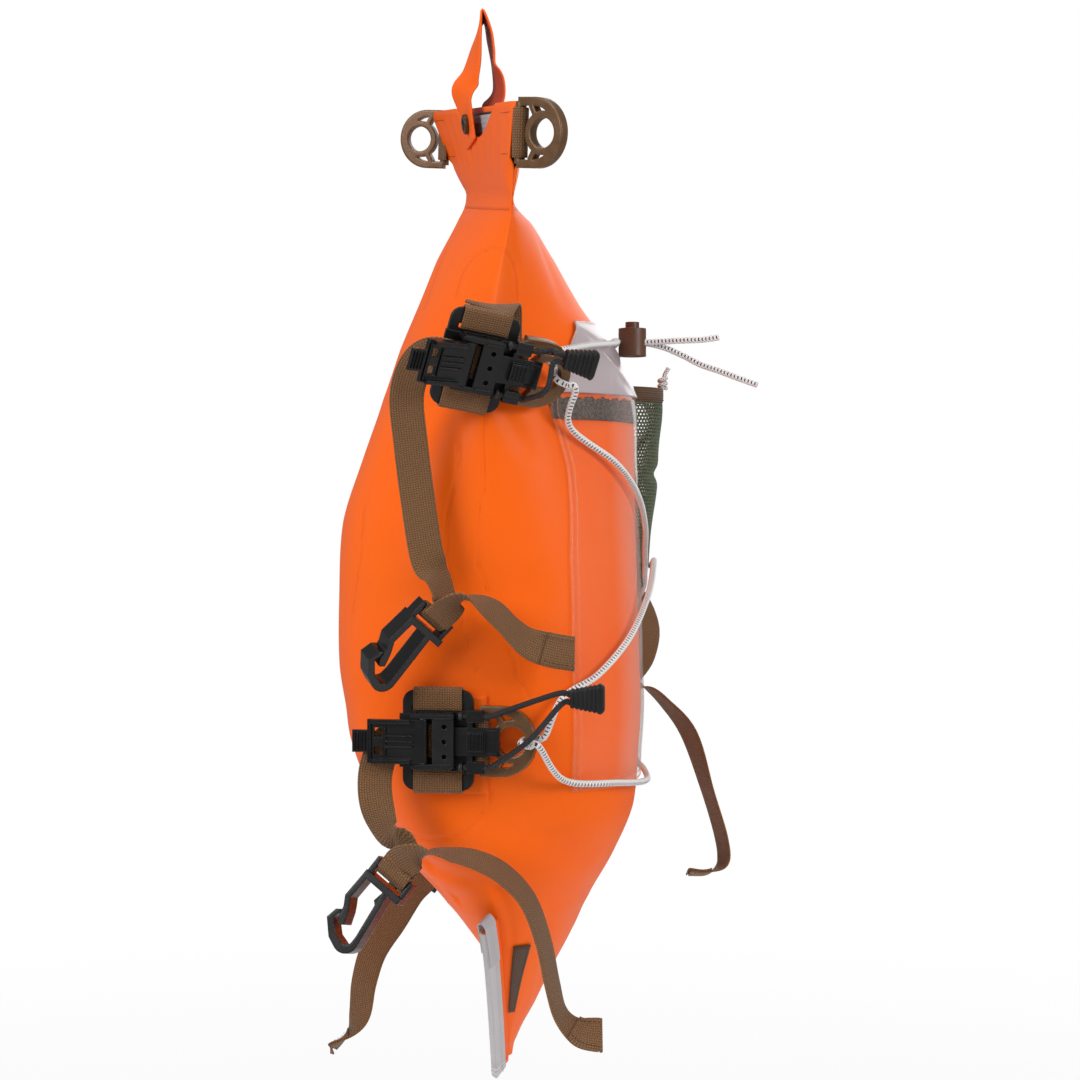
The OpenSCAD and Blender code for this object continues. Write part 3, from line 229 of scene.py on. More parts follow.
def smooth_path(points, steps):
    """A smooth line through the points, with that many steps between two of them"""
    p = np.asarray(points, float)
    p = np.vstack([p[:1], p, p[-1:]])
    return np.array([between(*p[i:i + 4], j / steps) for i in range(len(p) - 3) for j in range(steps)]
                    + [p[-1]])


def section(f):
    """The body's cross-section at a share of its height"""
    k = int(max(np.nonzero(SECTIONS[:-1, 0] <= max(f, 0) + 1e-9)[0]))
    t = (f - SECTIONS[k, 0]) / (SECTIONS[k + 1, 0] - SECTIONS[k, 0])
    last = len(SECTIONS) - 1
    return between(SECTIONS[max(k - 1, 0)], SECTIONS[k], SECTIONS[k + 1], SECTIONS[min(k + 2, last)],
                   min(max(t, 0), 1))


def skin(side, f, g, out=0.0):
    """Point of the body: side 1 top panel or -1 deck panel, share down the body, angle from -90 near to 90 far"""
    r = section(f)
    g = np.asarray(g, float)
    u = np.sin(np.radians(g))
    reach = np.maximum((r[3] * TOP_BULGE if side > 0 else r[2] * DECK_BULGE) + out, 0.4)
    x = side * reach * np.maximum(1 - np.abs(u) ** r[5], 0) ** (r[6] * (1 - 0.3 * max(1 - f / 0.2, 0)))
    y = (r[4] * BODY_W / 2 + out) * u
    turn, tilt = math.radians(r[7]), math.radians(r[8])
    return np.stack([r[1] + x * math.cos(turn) - y * math.sin(turn), x * math.sin(turn) + y * math.cos(turn),
                     -NECK_DROP - f * BODY_H + y * math.tan(tilt)], axis=-1)


# Soft creases pressed into the cloth: share and way round of both ends, width and depth in mm. The way round
# runs from -90 at the near seam over the top panel to 90 at the far seam, and on over the deck panel to 270
CREASES = [(0.747, 234, 0.766, 276, 8, 4.6), (0.785, 238, 0.770, 268, 6, 2.6), (0.752, 92, 0.772, 150, 9, 3.4),
           (0.03, 210, 0.12, 200, 12, 1.2), (0.02, 160, 0.12, 150, 12, 1.2), (0.02, -80, 0.085, -68, 6, 3.0),
           (0.03, -30, 0.12, -34, 12, 1.4), (0.03, 10, 0.12, 4, 12, 1.2), (0.03, 50, 0.12, 60, 12, 1.3),
           (0.82, -60, 0.90, -30, 9, 2.2), (0.77, -88, 0.83, -80, 6, 3.2), (0.80, 40, 0.9, 20, 9, 2.0),
           (0.58, 250, 0.66, 220, 16, 1.8), (0.60, 110, 0.64, 160, 16, 1.8), (0.73, -64, 0.80, -20, 12, 1.8),
           (0.24, 240, 0.36, 222, 18, 2.2), (0.25, 130, 0.34, 160, 18, 2.0), (0.80, 200, 0.87, 170, 10, 2.4),
           (0.215, -86, 0.30, -74, 10, 2.2), (0.50, 70, 0.60, 84, 10, 1.5), (0.455, 276, 0.475, 214, 22, 2.4),
           (0.66, 282, 0.70, 244, 14, 1.8), (0.70, -84, 0.735, -50, 14, 2.0)]
MM_A_DEGREE = 1.6


def dent(side, f, g):
    """How far the cloth is pressed in at points of one panel, in mm"""
    way = g if side > 0 else 180 - g
    total = np.zeros_like(g)
    for f0, g0, f1, g1, wide, deep in CREASES:
        middle = (g0 + g1) / 2
        bx, by = (f1 - f0) * BODY_H, (g1 - g0) * MM_A_DEGREE
        px, py = (f - f0) * BODY_H, ((way - middle + 180) % 360 - 180 + middle - g0) * MM_A_DEGREE
        t = np.clip((px * bx + py * by) / (bx * bx + by * by), 0, 1)
        apart = (px - t * bx) ** 2 + (py - t * by) ** 2
        total += deep * np.exp(-apart / (2 * (wide / 2) ** 2)) * (1 - 0.4 * t)
    a = np.radians(way)
    ripple = 0.5 * np.sin(12 * a + 9 * f) * math.sin(17 * f + 1) + 0.4 * np.sin(6 * a - 21 * f)
    near_fin = min(max((f - 0.77) / 0.03, 0), 1) * (1 - np.clip(np.cos(np.radians(g)) * 3, 0, 1))
    return (total + 0.5 * (ripple + 1)) * (1 - near_fin) * min(max(f - 0.02, 0) * 18, (1 - f) * 9, 1)


# Weld lines on the near end, as X and Z, mirrored to the far end
WELDS = [
    [(5.9, -261.5), (4.1, -274), (4.7, -298), (5.3, -310), (1.1, -327.5), (-.1, -353), (2.3, -360.5),
     (7.1, -375), (16.7, -400.6), (21.5, -410), (23.9, -420), (31, -433.7)],
    [(-10.9, -286), (-11.5, -304), (-16.9, -321.5), (-18.1, -353), (-12.7, -373.6), (-7.3, -393.5),
     (-1.3, -415), (3.5, -426.5)],
    [(-70, -321), (-71.6, -353), (-77.5, -386)],
    [(-14, -196), (-10, -181), (-3, -172), (7, -169), (17, -172), (22, -181), (23.5, -196), (22, -212)],
    [(3.5, -426.5), (10, -446), (12, -470), (8, -492), (-2, -508), (-16, -517), (-34, -519), (-50, -514)],
    [(-16, -131), (-21, -150), (-28, -172), (-36, -198)]]
NO_WELD = 14.0


def weld_distance(points):
    """Distance in mm of each point from the nearest weld line, seen from the end of the bag"""
    near = np.full(len(points), NO_WELD)
    for line in WELDS:
        p = smooth_path(line, 4)
        for a, b in zip(p[:-1], p[1:]):
            off, way = points[:, [0, 2]] - a, b - a
            t = np.clip(off @ way / (way @ way), 0, 1)
            near = np.minimum(near, np.linalg.norm(off - t[:, None] * way, axis=1))
    return near


def coated_nylon(name, lit, shade, weld=False):
    """Polyurethane-coated nylon: a flat even orange, silky gloss, a fine plain weave under the coat, welds as
    faint pressed lines. The weave is drawn at 1.1 mm instead of its 0.4 mm, so that it shows"""
    made, tree, shader = finish_named(name)
    place = add(tree, "ShaderNodeTexCoord").outputs["Object"]
    cloud = noise(tree, 9.0, place, Detail=3.0, Roughness=0.5)
    hue = mixed(tree, cloud, shade, lit)
    weave = add(tree, "ShaderNodeTexVoronoi", {"feature": "SMOOTH_F1"}, Vector=place, Scale=900.0,
                Smoothness=0.6)
    height = calc(tree, "MULTIPLY_ADD", noise(tree, 60.0, place, Detail=2.0), 1.6, weave.outputs[0])
    normal = relief(tree, height, 0.10, 0.0005)
    if weld:
        gap = add(tree, "ShaderNodeAttribute", {"attribute_name": "weld"}).outputs["Fac"]
        line = remap(tree, gap, 0.1, 1.1, 1.0, 0.0, smooth=True)
        hue = mixed(tree, calc(tree, "MULTIPLY", line, 0.45), hue, "#E2500A")
        normal = relief(tree, remap(tree, gap, 0.6, 2.6, 0.0, 1.0, smooth=True), 0.5, 0.0006, Normal=normal)
    gloss = remap(tree, cloud, 0.3, 0.7, 0.38, 0.48)
    fill(tree, shader, Base_Color=hue, Roughness=gloss, Normal=normal, Specular_IOR_Level=0.13)
    return made


body_nylon = coated_nylon("coated_nylon_orange", "#FF6E14", "#FA5F0C", weld=True)
rows = np.linspace(0.0, 0.989, 250)
steps = np.linspace(-90, 90, 129)
rings = []
for f in rows:
    ring = []
    for side, angles in [(1, steps), (-1, steps[::-1][1:-1])]:
        a = np.radians(angles)
        outwards = np.stack([side * np.cos(a), np.sin(a), 0 * a], axis=-1)
        ring.append(skin(side, f, angles) - dent(side, f, angles)[:, None] * outwards)
    rings.append(np.vstack(ring))
count = len(rings[0])
points = np.vstack(rings)
faces = [(i * count + j, (i + 1) * count + j, (i + 1) * count + (j + 1) % count, i * count + (j + 1) % count)
         for i in range(len(rows) - 1) for j in range(count)]
faces.append([(len(rows) - 1) * count + j for j in range(count - 1, -1, -1)])
faces.append(list(range(count)))
shell = piece("bag_shell", points, faces, None, [body_nylon])
turned_out = bmesh.new()
turned_out.from_mesh(shell.data)
bmesh.ops.recalc_face_normals(turned_out, faces=turned_out.faces)
turned_out.to_mesh(shell.data)
turned_out.free()
weld = shell.data.attributes.new("weld", "FLOAT", "POINT")
weld.data.foreach_set("value", np.where(np.abs(points[:, 1]) > 20, weld_distance(points), NO_WELD))
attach(shell, "bag")
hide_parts("deck_panel", "top_panel")


# ---- Bow fin, binding and label ----
# The welded edge round the bow is a flat fin. Grey grosgrain tape is folded over its rim, sewn with a
# zigzag, and turned back in a small loop at the near end. A plain brown label is sewn beside it.
def unit(v):
    """The same directions, one long"""
    v = np.asarray(v, float)
    return v / np.linalg.norm(v, axis=-1, keepdims=True)


def heading(path):
    """The way that a line runs at each of its points"""
    return unit(np.gradient(np.asarray(path, float), axis=0))


def run_of(path):
    """Distance along a line to each of its points"""
    return np.concatenate([[0], np.cumsum(np.linalg.norm(np.diff(path, axis=0), axis=1))])


def tube_faces(rows, n):
    """Faces of a tube of so many rows of n points, and of its two ends"""
    sides = [(i * n + j, i * n + (j + 1) % n, (i + 1) * n + (j + 1) % n, (i + 1) * n + j)
             for i in range(rows - 1) for j in range(n)]
    return sides + [list(range(n - 1, -1, -1)), [(rows - 1) * n + j for j in range(n)]]


def sweep(path, across, outline, wrap=False):
    """Points, faces and corner UVs of an outline carried along a path; across is its width direction"""
    path, across, outline = np.asarray(path, float), np.asarray(across, float), np.asarray(outline, float)
    ahead = heading(path)
    x = unit(across - (across * ahead).sum(1)[:, None] * ahead)
    y = np.cross(ahead, x)
    points = (path[:, None] + outline[:, :1] * x[:, None] + outline[:, 1:] * y[:, None]).reshape(-1, 3)
    run, n = run_of(path), len(outline)
    u = run_of(np.vstack([outline, outline[:1]])) if wrap else np.append(outline[:, 0], outline[0, 0])
    uv = [(u[j + b], run[i + a]) for i in range(len(path) - 1) for j in range(n)
          for a, b in ((0, 0), (0, 1), (1, 1), (1, 0))]
    uv += [(outline[j, 0], 0) for j in range(n - 1, -1, -1)] + [(outline[j, 0], run[-1]) for j in range(n)]
    return points, tube_faces(len(path), n), uv


def sheet_mesh(outer, inner, turned=False):
    """Points, faces and corner UVs of a closed sheet between two grids of points"""
    outer, inner = np.asarray(outer, float), np.asarray(inner, float)
    r, c = outer.shape[:2]
    across, down = run_of(outer[r // 2]), run_of(outer[:, c // 2])
    points = np.vstack([outer.reshape(-1, 3), inner.reshape(-1, 3)])
    base = r * c
    flat = [(across[k % base % c], down[k % base // c]) for k in range(2 * base)]
    faces = []
    for i in range(r - 1):
        for j in range(c - 1):
            a, b, d, e = i * c + j, i * c + j + 1, (i + 1) * c + j, (i + 1) * c + j + 1
            faces += [(a, d, e, b), (a + base, b + base, e + base, d + base)]
    rim = [*range(c), *range(2 * c - 1, r * c, c), *range(r * c - 2, (r - 1) * c - 1, -1),
           *range((r - 2) * c, 0, -c)]
    faces += [(a, b, b + base, a + base) for a, b in zip(rim, rim[1:] + rim[:1])]
    if turned:
        faces = [f[::-1] for f in faces]
    return points, faces, [flat[k] for f in faces for k in f]


FIN_W, FIN_T, FIN_LEAN = 14.0, 2.4, 0.75

# Edge of the body round the bow, near side to far, and the ways out from it and across the fin
shares = np.linspace(0.802, 0.989, 40)
tip = [16.0, 0.0, -NECK_DROP - 0.995 * BODY_H]
edge = np.array([*[skin(1, f, -90.0) for f in shares], tip, *[skin(1, f, 90.0) for f in shares[::-1]]])
outward = unit(np.cross(heading(edge), [1, 0, 0]) - np.array([FIN_LEAN, 0, 0]))
fin_face = unit(np.cross(heading(edge), outward))
fin_nylon = coated_nylon("coated_nylon_fin", "#FC6A12", "#F45C0C")
flat = [(0.75, -FIN_T / 2), (FIN_W, -FIN_T / 2), (FIN_W, FIN_T / 2), (0.75, FIN_T / 2)]
fin = piece("bow_fin_sheet", *sweep(edge, outward, flat)[:2], None, [fin_nylon], smooth=False)
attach(fin, "bag")
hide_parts("bow_fin")


def flat_place(tree):
    """The two UV coordinates of a piece, in millimetres across and along it"""
    where = add(tree, "ShaderNodeSeparateXYZ", i0=add(tree, "ShaderNodeUVMap", {"uv_map": "UVMap"}).outputs[0])
    return where.outputs[0], where.outputs[1]


def woven_tape(name, light, dark, rib=1.5, column=1.6, shine=0.55, depth=0.0007):
    """Woven nylon tape: columns of yarn with crosswise ribs in step across it, dull with a faint sheen. The
    ribs are drawn as coarse as they need to be to show"""
    made, tree, shader = finish_named(name)
    across, along = flat_place(tree)
    lane = calc(tree, "DIVIDE", across, column)
    odd = calc(tree, "PINGPONG", calc(tree, "FLOOR", lane), 1.0)
    phase = calc(tree, "MULTIPLY_ADD", odd, math.pi * 0.5, calc(tree, "MULTIPLY", along, 2 * math.pi / rib))
    lanes = remap(tree, calc(tree, "PINGPONG", lane, 0.5), 0.0, 0.22, 0.0, 1.0, smooth=True)
    height = calc(tree, "MULTIPLY", remap(tree, calc(tree, "SINE", phase), -1.0, 0.6, 0.25, 1.0), lanes)
    # colour follows the rib height: a painted highlight on the rib tops and painted shade in the gaps between them,
    # plus random tone from noise
    rib_shade_and_tone = calc(tree, "MULTIPLY_ADD", noise(tree, 55.0, Detail=4.0, Roughness=0.65), 0.25, height)
    hue = mixed(tree, remap(tree, rib_shade_and_tone, 0.1, 1.15, 0.0, 1.0), dark, light)
    fill(tree, shader, Base_Color=hue, Normal=relief(tree, height, 0.8, depth), Roughness=shine,
         Specular_IOR_Level=0.3, Sheen_Weight=0.15)
    return made


grey_tape = woven_tape("grosgrain_grey", "#D2CFD1", "#B0ADB1", rib=1.9, column=60.0, shine=0.5)
lap, rim, gap = FIN_W - 9.0, FIN_W + 0.3, 1.5
u_shape = [(lap, -gap - 0.8), (rim, -gap - 0.8), (rim + 0.8, -gap), (rim + 0.8, gap), (rim, gap + 0.8),
           (lap, gap + 0.8), (lap, gap), (rim, gap), (rim, -gap), (lap, -gap)]
binding = piece("bow_binding", *sweep(edge, outward, u_shape), [grey_tape], smooth=False)
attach(binding, "bag")
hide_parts("fin_binding")


def thread(name, code):
    """Bonded polyester sewing thread: slightly shiny, with a twist too fine to show"""
    made, tree, shader = finish_named(name)
    dark = tuple(0.7 * c for c in colour(code)[:3]) + (1,)
    fill(tree, shader, Base_Color=mixed(tree, noise(tree, 900.0), dark, code), Roughness=0.45)
    return made


def geometry_tree(name, source, result, settings):
    """A Geometry Nodes tree with named inputs, what comes into it, and the settings under their own keys"""
    tree = bpy.data.node_groups.new(name, "GeometryNodeTree")
    tree.interface.new_socket(source, in_out="INPUT", socket_type="NodeSocketGeometry")
    keys = {}
    for label, value in settings.items():
        kind = "NodeSocketInt" if isinstance(value, int) else "NodeSocketFloat"
        keys[tree.interface.new_socket(label, in_out="INPUT", socket_type=kind).identifier] = value
    tree.interface.new_socket(result, in_out="OUTPUT", socket_type="NodeSocketGeometry")
    return tree, add(tree, "NodeGroupInput").outputs, keys


def swung(tree, turn, euler):
    """A rotation turned in its own frame by three angles"""
    more = add(tree, "FunctionNodeEulerToRotation", i0=euler).outputs[0]
    return add(tree, "FunctionNodeRotateRotation", {"rotation_space": "LOCAL"}, i0=turn, i1=more).outputs[0]


def grow(made, tree, keys, material, smooth, **copied):
    """Sets the copies, makes them real, gives them their material and leaves the piece as a plain mesh"""
    copies = add(tree, "GeometryNodeInstanceOnPoints", **copied)
    real = add(tree, "GeometryNodeRealizeInstances", i0=copies.outputs[0]).outputs[0]
    if smooth:
        real = add(tree, "GeometryNodeSetShadeSmooth", Geometry=real).outputs[0]
    done = add(tree, "GeometryNodeSetMaterial", Geometry=real, Material=material)
    add(tree, "NodeGroupOutput", i0=done.outputs[0])
    steps = made.modifiers.new("steps", "NODES")
    steps.node_group = tree
    for key, value in keys.items():
        steps[key] = value
    keep_shape(made)


def repeat_along(name, line, material, spacing, size, swing=0.0):
    """Small rounded bars set at equal steps along a line in mm, made by a Geometry Nodes tree. size is the bar's
    length along the line, its width and its height; swing turns every second one the other way"""
    length, width, height = [d * 0.001 for d in size]
    tree, given, keys = geometry_tree(name + "_steps", "Line", "Bars",
                                      {"Spacing": spacing * 0.001, "Bar length": length, "Bar width": width,
                                       "Bar height": height, "Swing": swing})
    curve = add(tree, "GeometryNodeMeshToCurve", i0=given["Line"])
    evenly = add(tree, "GeometryNodeResampleCurve", {"mode": "LENGTH"}, Curve=curve.outputs[0],
                 Length=given["Spacing"])
    dots = add(tree, "GeometryNodeCurveToPoints", {"mode": "EVALUATED"}, i0=evenly.outputs[0])
    dims = add(tree, "ShaderNodeCombineXYZ", i0=given["Bar width"], i1=given["Bar height"],
               i2=given["Bar length"])
    bar = add(tree, "GeometryNodeMeshUVSphere", Segments=6, Rings=4, Radius=0.5)
    shaped = add(tree, "GeometryNodeTransform", Geometry=bar.outputs[0], Scale=dims.outputs[0])
    way = calc(tree, "PINGPONG", add(tree, "GeometryNodeInputIndex").outputs[0], 1.0)
    angle = calc(tree, "MULTIPLY", calc(tree, "SUBTRACT", way, 0.5), given["Swing"])
    turned = swung(tree, dots.outputs["Rotation"], add(tree, "ShaderNodeCombineXYZ", i1=angle).outputs[0])
    mesh = bpy.data.meshes.new(name)
    mesh.from_pydata((np.asarray(line, float) * 0.001).tolist(), [(i, i + 1) for i in range(len(line) - 1)], [])
    made = placed(name, mesh)
    grow(made, tree, keys, material, True, Points=dots.outputs[0], Instance=shaped.outputs[0], Rotation=turned)
    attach(made, "bag")
    return made


grey_thread = thread("sewing_thread_grey", "#D8D6D4")
brown_thread = thread("sewing_thread_brown", "#3E2A18")
for side in (-1, 1):
    line = (edge + outward * (FIN_W - 5.2) + side * 2.35 * fin_face)[4:-4]
    name = "binding_stitches_" + ("top" if side > 0 else "deck")
    repeat_along(name, line, grey_thread, 2.2, (2.9, 0.45, 0.35), swing=1.5)

# The tape's near end, folded back on itself
FOLD = [(9, -1, 0), (6, -1, 0), (3, -1, 0), (0, -1, 0), (0, -1, 5), (0, 0, 8.5), (0, 1, 5), (0, 1, 0),
        (3, 1, 0), (6, 1, 0)]
middle, back_way = edge + outward * (FIN_W - 4.3), -heading(edge)
flat = [(-4.6, -0.4), (4.6, -0.4), (4.6, 0.4), (-4.6, 0.4)]
fold_path = smooth_path([middle[k] + fin_face[k] * 2.9 * s + back_way[k] * back for k, s, back in FOLD], 4)
fold_across = smooth_path([outward[k] for k, s, back in FOLD], 4)
loop_end = piece("binding_fold", *sweep(fold_path, fold_across, flat), [grey_tape], smooth=False)
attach(loop_end, "bag")

label_cloth = woven_tape("label_cloth_brown", "#5E4430", "#46301F", rib=0.9, column=0.9, shine=0.7,
                         depth=0.0003)
shares, angles = np.linspace(0.839, 0.927, 18), np.linspace(-78.75, -65.5, 14)
label = piece("label_patch", *sheet_mesh(*[[skin(1, f, angles, out) for f in shares] for out in (1.2, 0.3)]),
              [label_cloth])
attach(label, "bag")
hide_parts("label_tab")
ways = np.concatenate([k + np.linspace(0.05 if k else 0, 1, n) for k, n in enumerate((20, 14, 20, 14))])
rows = np.interp(ways, range(5), [0.843, 0.923, 0.923, 0.843, 0.843])
inset = [skin(1, f, g, 1.35) for f, g in zip(rows, np.interp(ways, range(5), [-77.2, -77.2, -67, -67, -77.2]))]
repeat_along("label_stitches", inset, brown_thread, 2.4, (1.7, 0.4, 0.3))


# ---- Mouth: skirts and press seals ----
# Above the neck both panels run on as flat skirts. Each carries a ribbed grey press-seal strip on its
# inner face, with a black lip, and the deck side gapes beside the loop so that the strip shows.
SKIRT_H, MOUTH_W, MOUTH_TURN, MOUTH_TILT, SEAL_T, SEAL_H, CLOTH = 56.0, 268.0, 13.5, 9.5, 2.6, 22.0, 1.2
SKIRT_OUT = SEAL_T + 0.45
SAG_AT, SAG_HALF_W, SAG_H = -20, 62, 20


def mouth(h, y, x):
    """A point of the mouth: h above the neck line, y across, x out of its middle plane"""
    s = h / SKIRT_H
    turn, tilt = math.radians(8.0 + s * (MOUTH_TURN - 8.0)), math.radians(MOUTH_TILT)
    return np.array([3.0 - 8.5 * s + x * math.cos(turn) - y * math.sin(turn) * math.cos(tilt),
                     x * math.sin(turn) + y * math.cos(turn) * math.cos(tilt),
                     -NECK_DROP + h + y * math.sin(tilt)])


def mouth_half(h):
    """Half the mouth's width, h above the neck line"""
    return 0.929 * BODY_W / 2 * (1 - h / SKIRT_H) + MOUTH_W / 2 * h / SKIRT_H


def skirt_edge(side, y):
    """Height of a skirt's upper edge: the deck side sags beside the loop"""
    off = (y - SAG_AT) / SAG_HALF_W
    sag = 0.5 + 0.5 * math.cos(math.pi * off) if abs(off) < 1 and side < 0 else 0
    return SKIRT_H - SAG_H * sag ** 0.5


skirt_nylon = coated_nylon("coated_nylon_skirt", "#FE6C14", "#F75E0E")
for side, node in [(-1, "deck_skirt"), (1, "top_skirt")]:
    outer, inner = [], []
    for s in np.linspace(1, 0, 16):
        for grid, out in [(outer, SKIRT_OUT + CLOTH), (inner, SKIRT_OUT)]:
            line = []
            for q in np.linspace(-1, 1, 81):
                h = 0.3 + s * (skirt_edge(side, q * MOUTH_W / 2) - 0.3)
                low = max(0.0, 1 - h / 16.0) ** 1.6
                bag_out = 3.46 * (1 - q * q) ** 0.7 + (0.7 if grid is outer else 0.1)
                shut = min(max(abs(h - 37) - 15.5, 0), 4) / 4 * (1 - min((1 - abs(q)) * mouth_half(h) / 10, 1))
                wave = 0.35 * math.sin(q * 17 + 3 * side) * (1 - s) + 0.25 * math.sin(q * 31)
                ripple = 0 if s > 0.9 else max(wave, -0.2) * (1 - shut)
                x = (out - shut * SKIRT_OUT + ripple) * (1 - low) + bag_out * low
                line.append(mouth(h, q * mouth_half(h), side * x))
            grid.append(line)
    for f, lift in [(0.003, 0.6), (0.008, 0.45), (0.013, 0.3), (0.018, 0.16)]:
        for grid, out in [(outer, lift), (inner, 0.1)]:
            grid.append(list(skin(side, f, np.degrees(np.arcsin(np.linspace(-1, 1, 81))), out)))
    skirt = piece("skirt_" + ("top" if side > 0 else "deck"), *sheet_mesh(outer, inner, turned=side < 0),
                  [skirt_nylon])
    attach(skirt, "bag")
    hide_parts(node)
    for k, (y0, y1) in enumerate([(-128, -98), (98, 128)]):
        for h in (24.5, 49.5):
            tack = [mouth(h, y0 + (y1 - y0) * t, side * (SKIRT_OUT + CLOTH + 0.15))
                    for t in np.linspace(0, 1, 12)]
            repeat_along("tab_tacks_%d_%d_%d" % (side > 0, k, h), tack, brown_thread, 2.6,
                                 (1.9, 0.5, 0.35))


def seal_plastic(name, code, dark):
    """Extruded soft polyethylene: grey, smooth and slightly greasy in its shine, ribs along it"""
    made, tree, shader = finish_named(name)
    smear = noise(tree, 70.0, Detail=3.0)
    fill(tree, shader, Base_Color=mixed(tree, smear, dark, code),
         Roughness=remap(tree, smear, 0.3, 0.7, 0.25, 0.45), Normal=relief(tree, smear, 0.15, 0.0004))
    return made


seal_grey = seal_plastic("seal_polyethylene_grey", "#C9C6C8", "#8F8C90")
seal_black = seal_plastic("seal_lip_black", "#2A2A2C", "#18181A")
for side, node in [(-1, "deck_seal"), (1, "top_seal")]:
    outer, inner = [], []
    ys = np.linspace(-MOUTH_W / 2 + 14, MOUTH_W / 2 - 14, 81)
    for down in np.linspace(0, 1, 45):
        rib = 0.35 * (0.5 - 0.5 * math.cos(2 * math.pi * 7 * down))
        for grid, x in [(outer, 0.15 + SEAL_T - rib), (inner, 0.15 + rib * 0.6)]:
            grid.append([mouth(skirt_edge(side, y) - 4 - down * SEAL_H, y, side * x) for y in ys])
    mesh = sheet_mesh(outer, inner, turned=side < 0)
    lips = [1 if (f[0] % (45 * 81)) // 81 in (0, 1, 2, 41, 42, 43) else 0 for f in mesh[1]]
    made = piece("press_seal_" + ("top" if side > 0 else "deck"), *mesh, [seal_grey, seal_black], which=lips)
    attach(made, "bag")
    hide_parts(node)


# ---- Pull loop and snap rivets ----
# One strap of the same coated nylon goes over both skirts and folds to a point at the hang point. Its
# uncoated back is a dull red, made darker still as painted shade. Brown snap rivets with a dark sunk centre hold both
# legs.
LOOP_W, LOOP_T = 36.0, 1.6
LOOP_DECK = [[0, 0, -0.8, 0, 1, 0], [-3.9, 0, -16, -0.17, 1, 0], [-7.2, 0, -34, -0.36, 1, 0],
             [-11.6, 0, -46, -0.58, 1, 0.06], [-12.2, 0, -56, -0.32, 1, 0.16], [-10.3, 0, -66, -0.23, 1, 0.17],
             [-8.8, 0, -76, -0.21, 1, 0.17], [-7.5, 0, -84, -0.2, 1, 0.17]]
LOOP_TOP = [[4.2, 0, -14, -0.08, 1, 0], [6.6, -1, -28, -0.06, 1, 0], [7.4, -3, -40, -0.05, 1, 0],
            [8.4, -6, -50, -0.3, 1, 0], [6.6, -7, -59, -0.42, 1, 0.12], [3.1, -7, -68, -0.23, 1, 0.16],
            [4.1, -7, -76, -0.22, 1, 0.16], [5.5, -7, -86, -0.2, 1, 0.16]]


def stations(rows, steps):
    """A smooth line and its width directions through given stations, each a point and a direction"""
    rows = np.asarray(rows, float)
    return smooth_path(rows[:, :3], steps), smooth_path(unit(rows[:, 3:]), steps)


def flat_strap(width, thick, columns=8):
    """Outline of a strap: rounded edges, points across its faces"""
    h, e = width / 2, thick / 2
    xs = np.linspace(-h + 0.5, h - 0.5, columns)
    rim = 0.4 * e
    return [(-h, -rim), *[(x, -e) for x in xs], (h, -rim), (h, rim), *[(x, e) for x in xs[::-1]], (-h, rim)]


loop_front = coated_nylon("coated_nylon_loop", "#FE6A12", "#F65C0C")
# the back's red is darker than the cloth's own: painted shade for the loop's shaded inner face
loop_back_red_painted_shade = coated_nylon("coated_nylon_back_red_painted_shade", "#C4502E", "#9A3A2C")
path, across = stations(LOOP_DECK[::-1] + LOOP_TOP, 7)
outline = flat_strap(LOOP_W, LOOP_T, 14)
n = len(outline)
# the strap's coated face is at +Y of its outline, the back at -Y
back_face = [1 if k % n < n // 2 else 0 for k in range((len(path) - 1) * n)] + [0, 0]
loop = piece("pull_loop_strap", *sweep(path, across, outline), [loop_front, loop_back_red_painted_shade], which=back_face)
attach(loop, "bag")
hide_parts("pull_loop")


def rounded_edges_and_glint(tree, radius, samples, start, end, most):
    """The normal with its edges rounded off, and how far each place turns at an edge, the share of a painted edge
    highlight
    """
    rounded = add(tree, "ShaderNodeBevel", {"samples": samples}, Radius=radius).outputs[0]
    facet = add(tree, "ShaderNodeNewGeometry").outputs["Normal"]
    turn = add(tree, "ShaderNodeVectorMath", {"operation": "DOT_PRODUCT"}, i0=rounded,
               i1=facet).outputs["Value"]
    return rounded, remap(tree, turn, start, end, 0.0, most)


def moulded(name, code, rough, painted_edge_glint, edge_mm, grain=900.0, level=0.5):
    """Injection-moulded acetal or nylon: fine spark-eroded grain, soft rounded edges that catch the light and
    carry a painted highlight that makes them a little paler in patches"""
    made, tree, shader = finish_named(name)
    patch = noise(tree, 70.0, Detail=3.0)
    rounded, edge_glint_share = rounded_edges_and_glint(tree, edge_mm * 0.001, 6, 0.97, 0.75, 0.5)
    # the base colour turns paler along the rounded edges, in patches: a painted edge highlight
    fill(tree, shader, Base_Color=mixed(tree, calc(tree, "MULTIPLY", edge_glint_share, patch), code, painted_edge_glint),
         Roughness=remap(tree, patch, 0.3, 0.7, rough - 0.06, rough + 0.08),
         Normal=relief(tree, noise(tree, grain, Detail=2.0), 0.10, 0.0002, Normal=rounded),
         Specular_IOR_Level=level)
    return made


def dress(material, *nodes):
    """Gives CAD nodes a real finish"""
    for name in nodes:
        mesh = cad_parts[name].data
        if len(mesh.materials) == 0:
            mesh.materials.append(material)
        for k in range(len(mesh.materials)):
            mesh.materials[k] = material


def lathe(profile, at, axis, sides=28):
    """Points and faces of a closed turned shape: profile of (radius, height) from its middle, about an axis"""
    axis = unit(axis)
    side = unit(np.cross(axis, [0.31, 0.95, 0.05]))
    third = np.cross(axis, side)
    ring = [np.cos(a) * side + np.sin(a) * third for a in np.linspace(0, 2 * math.pi, sides, endpoint=False)]
    return np.array([np.array(at) + r * d + h * axis for r,
                     h in profile for d in ring]), tube_faces(len(profile), sides)


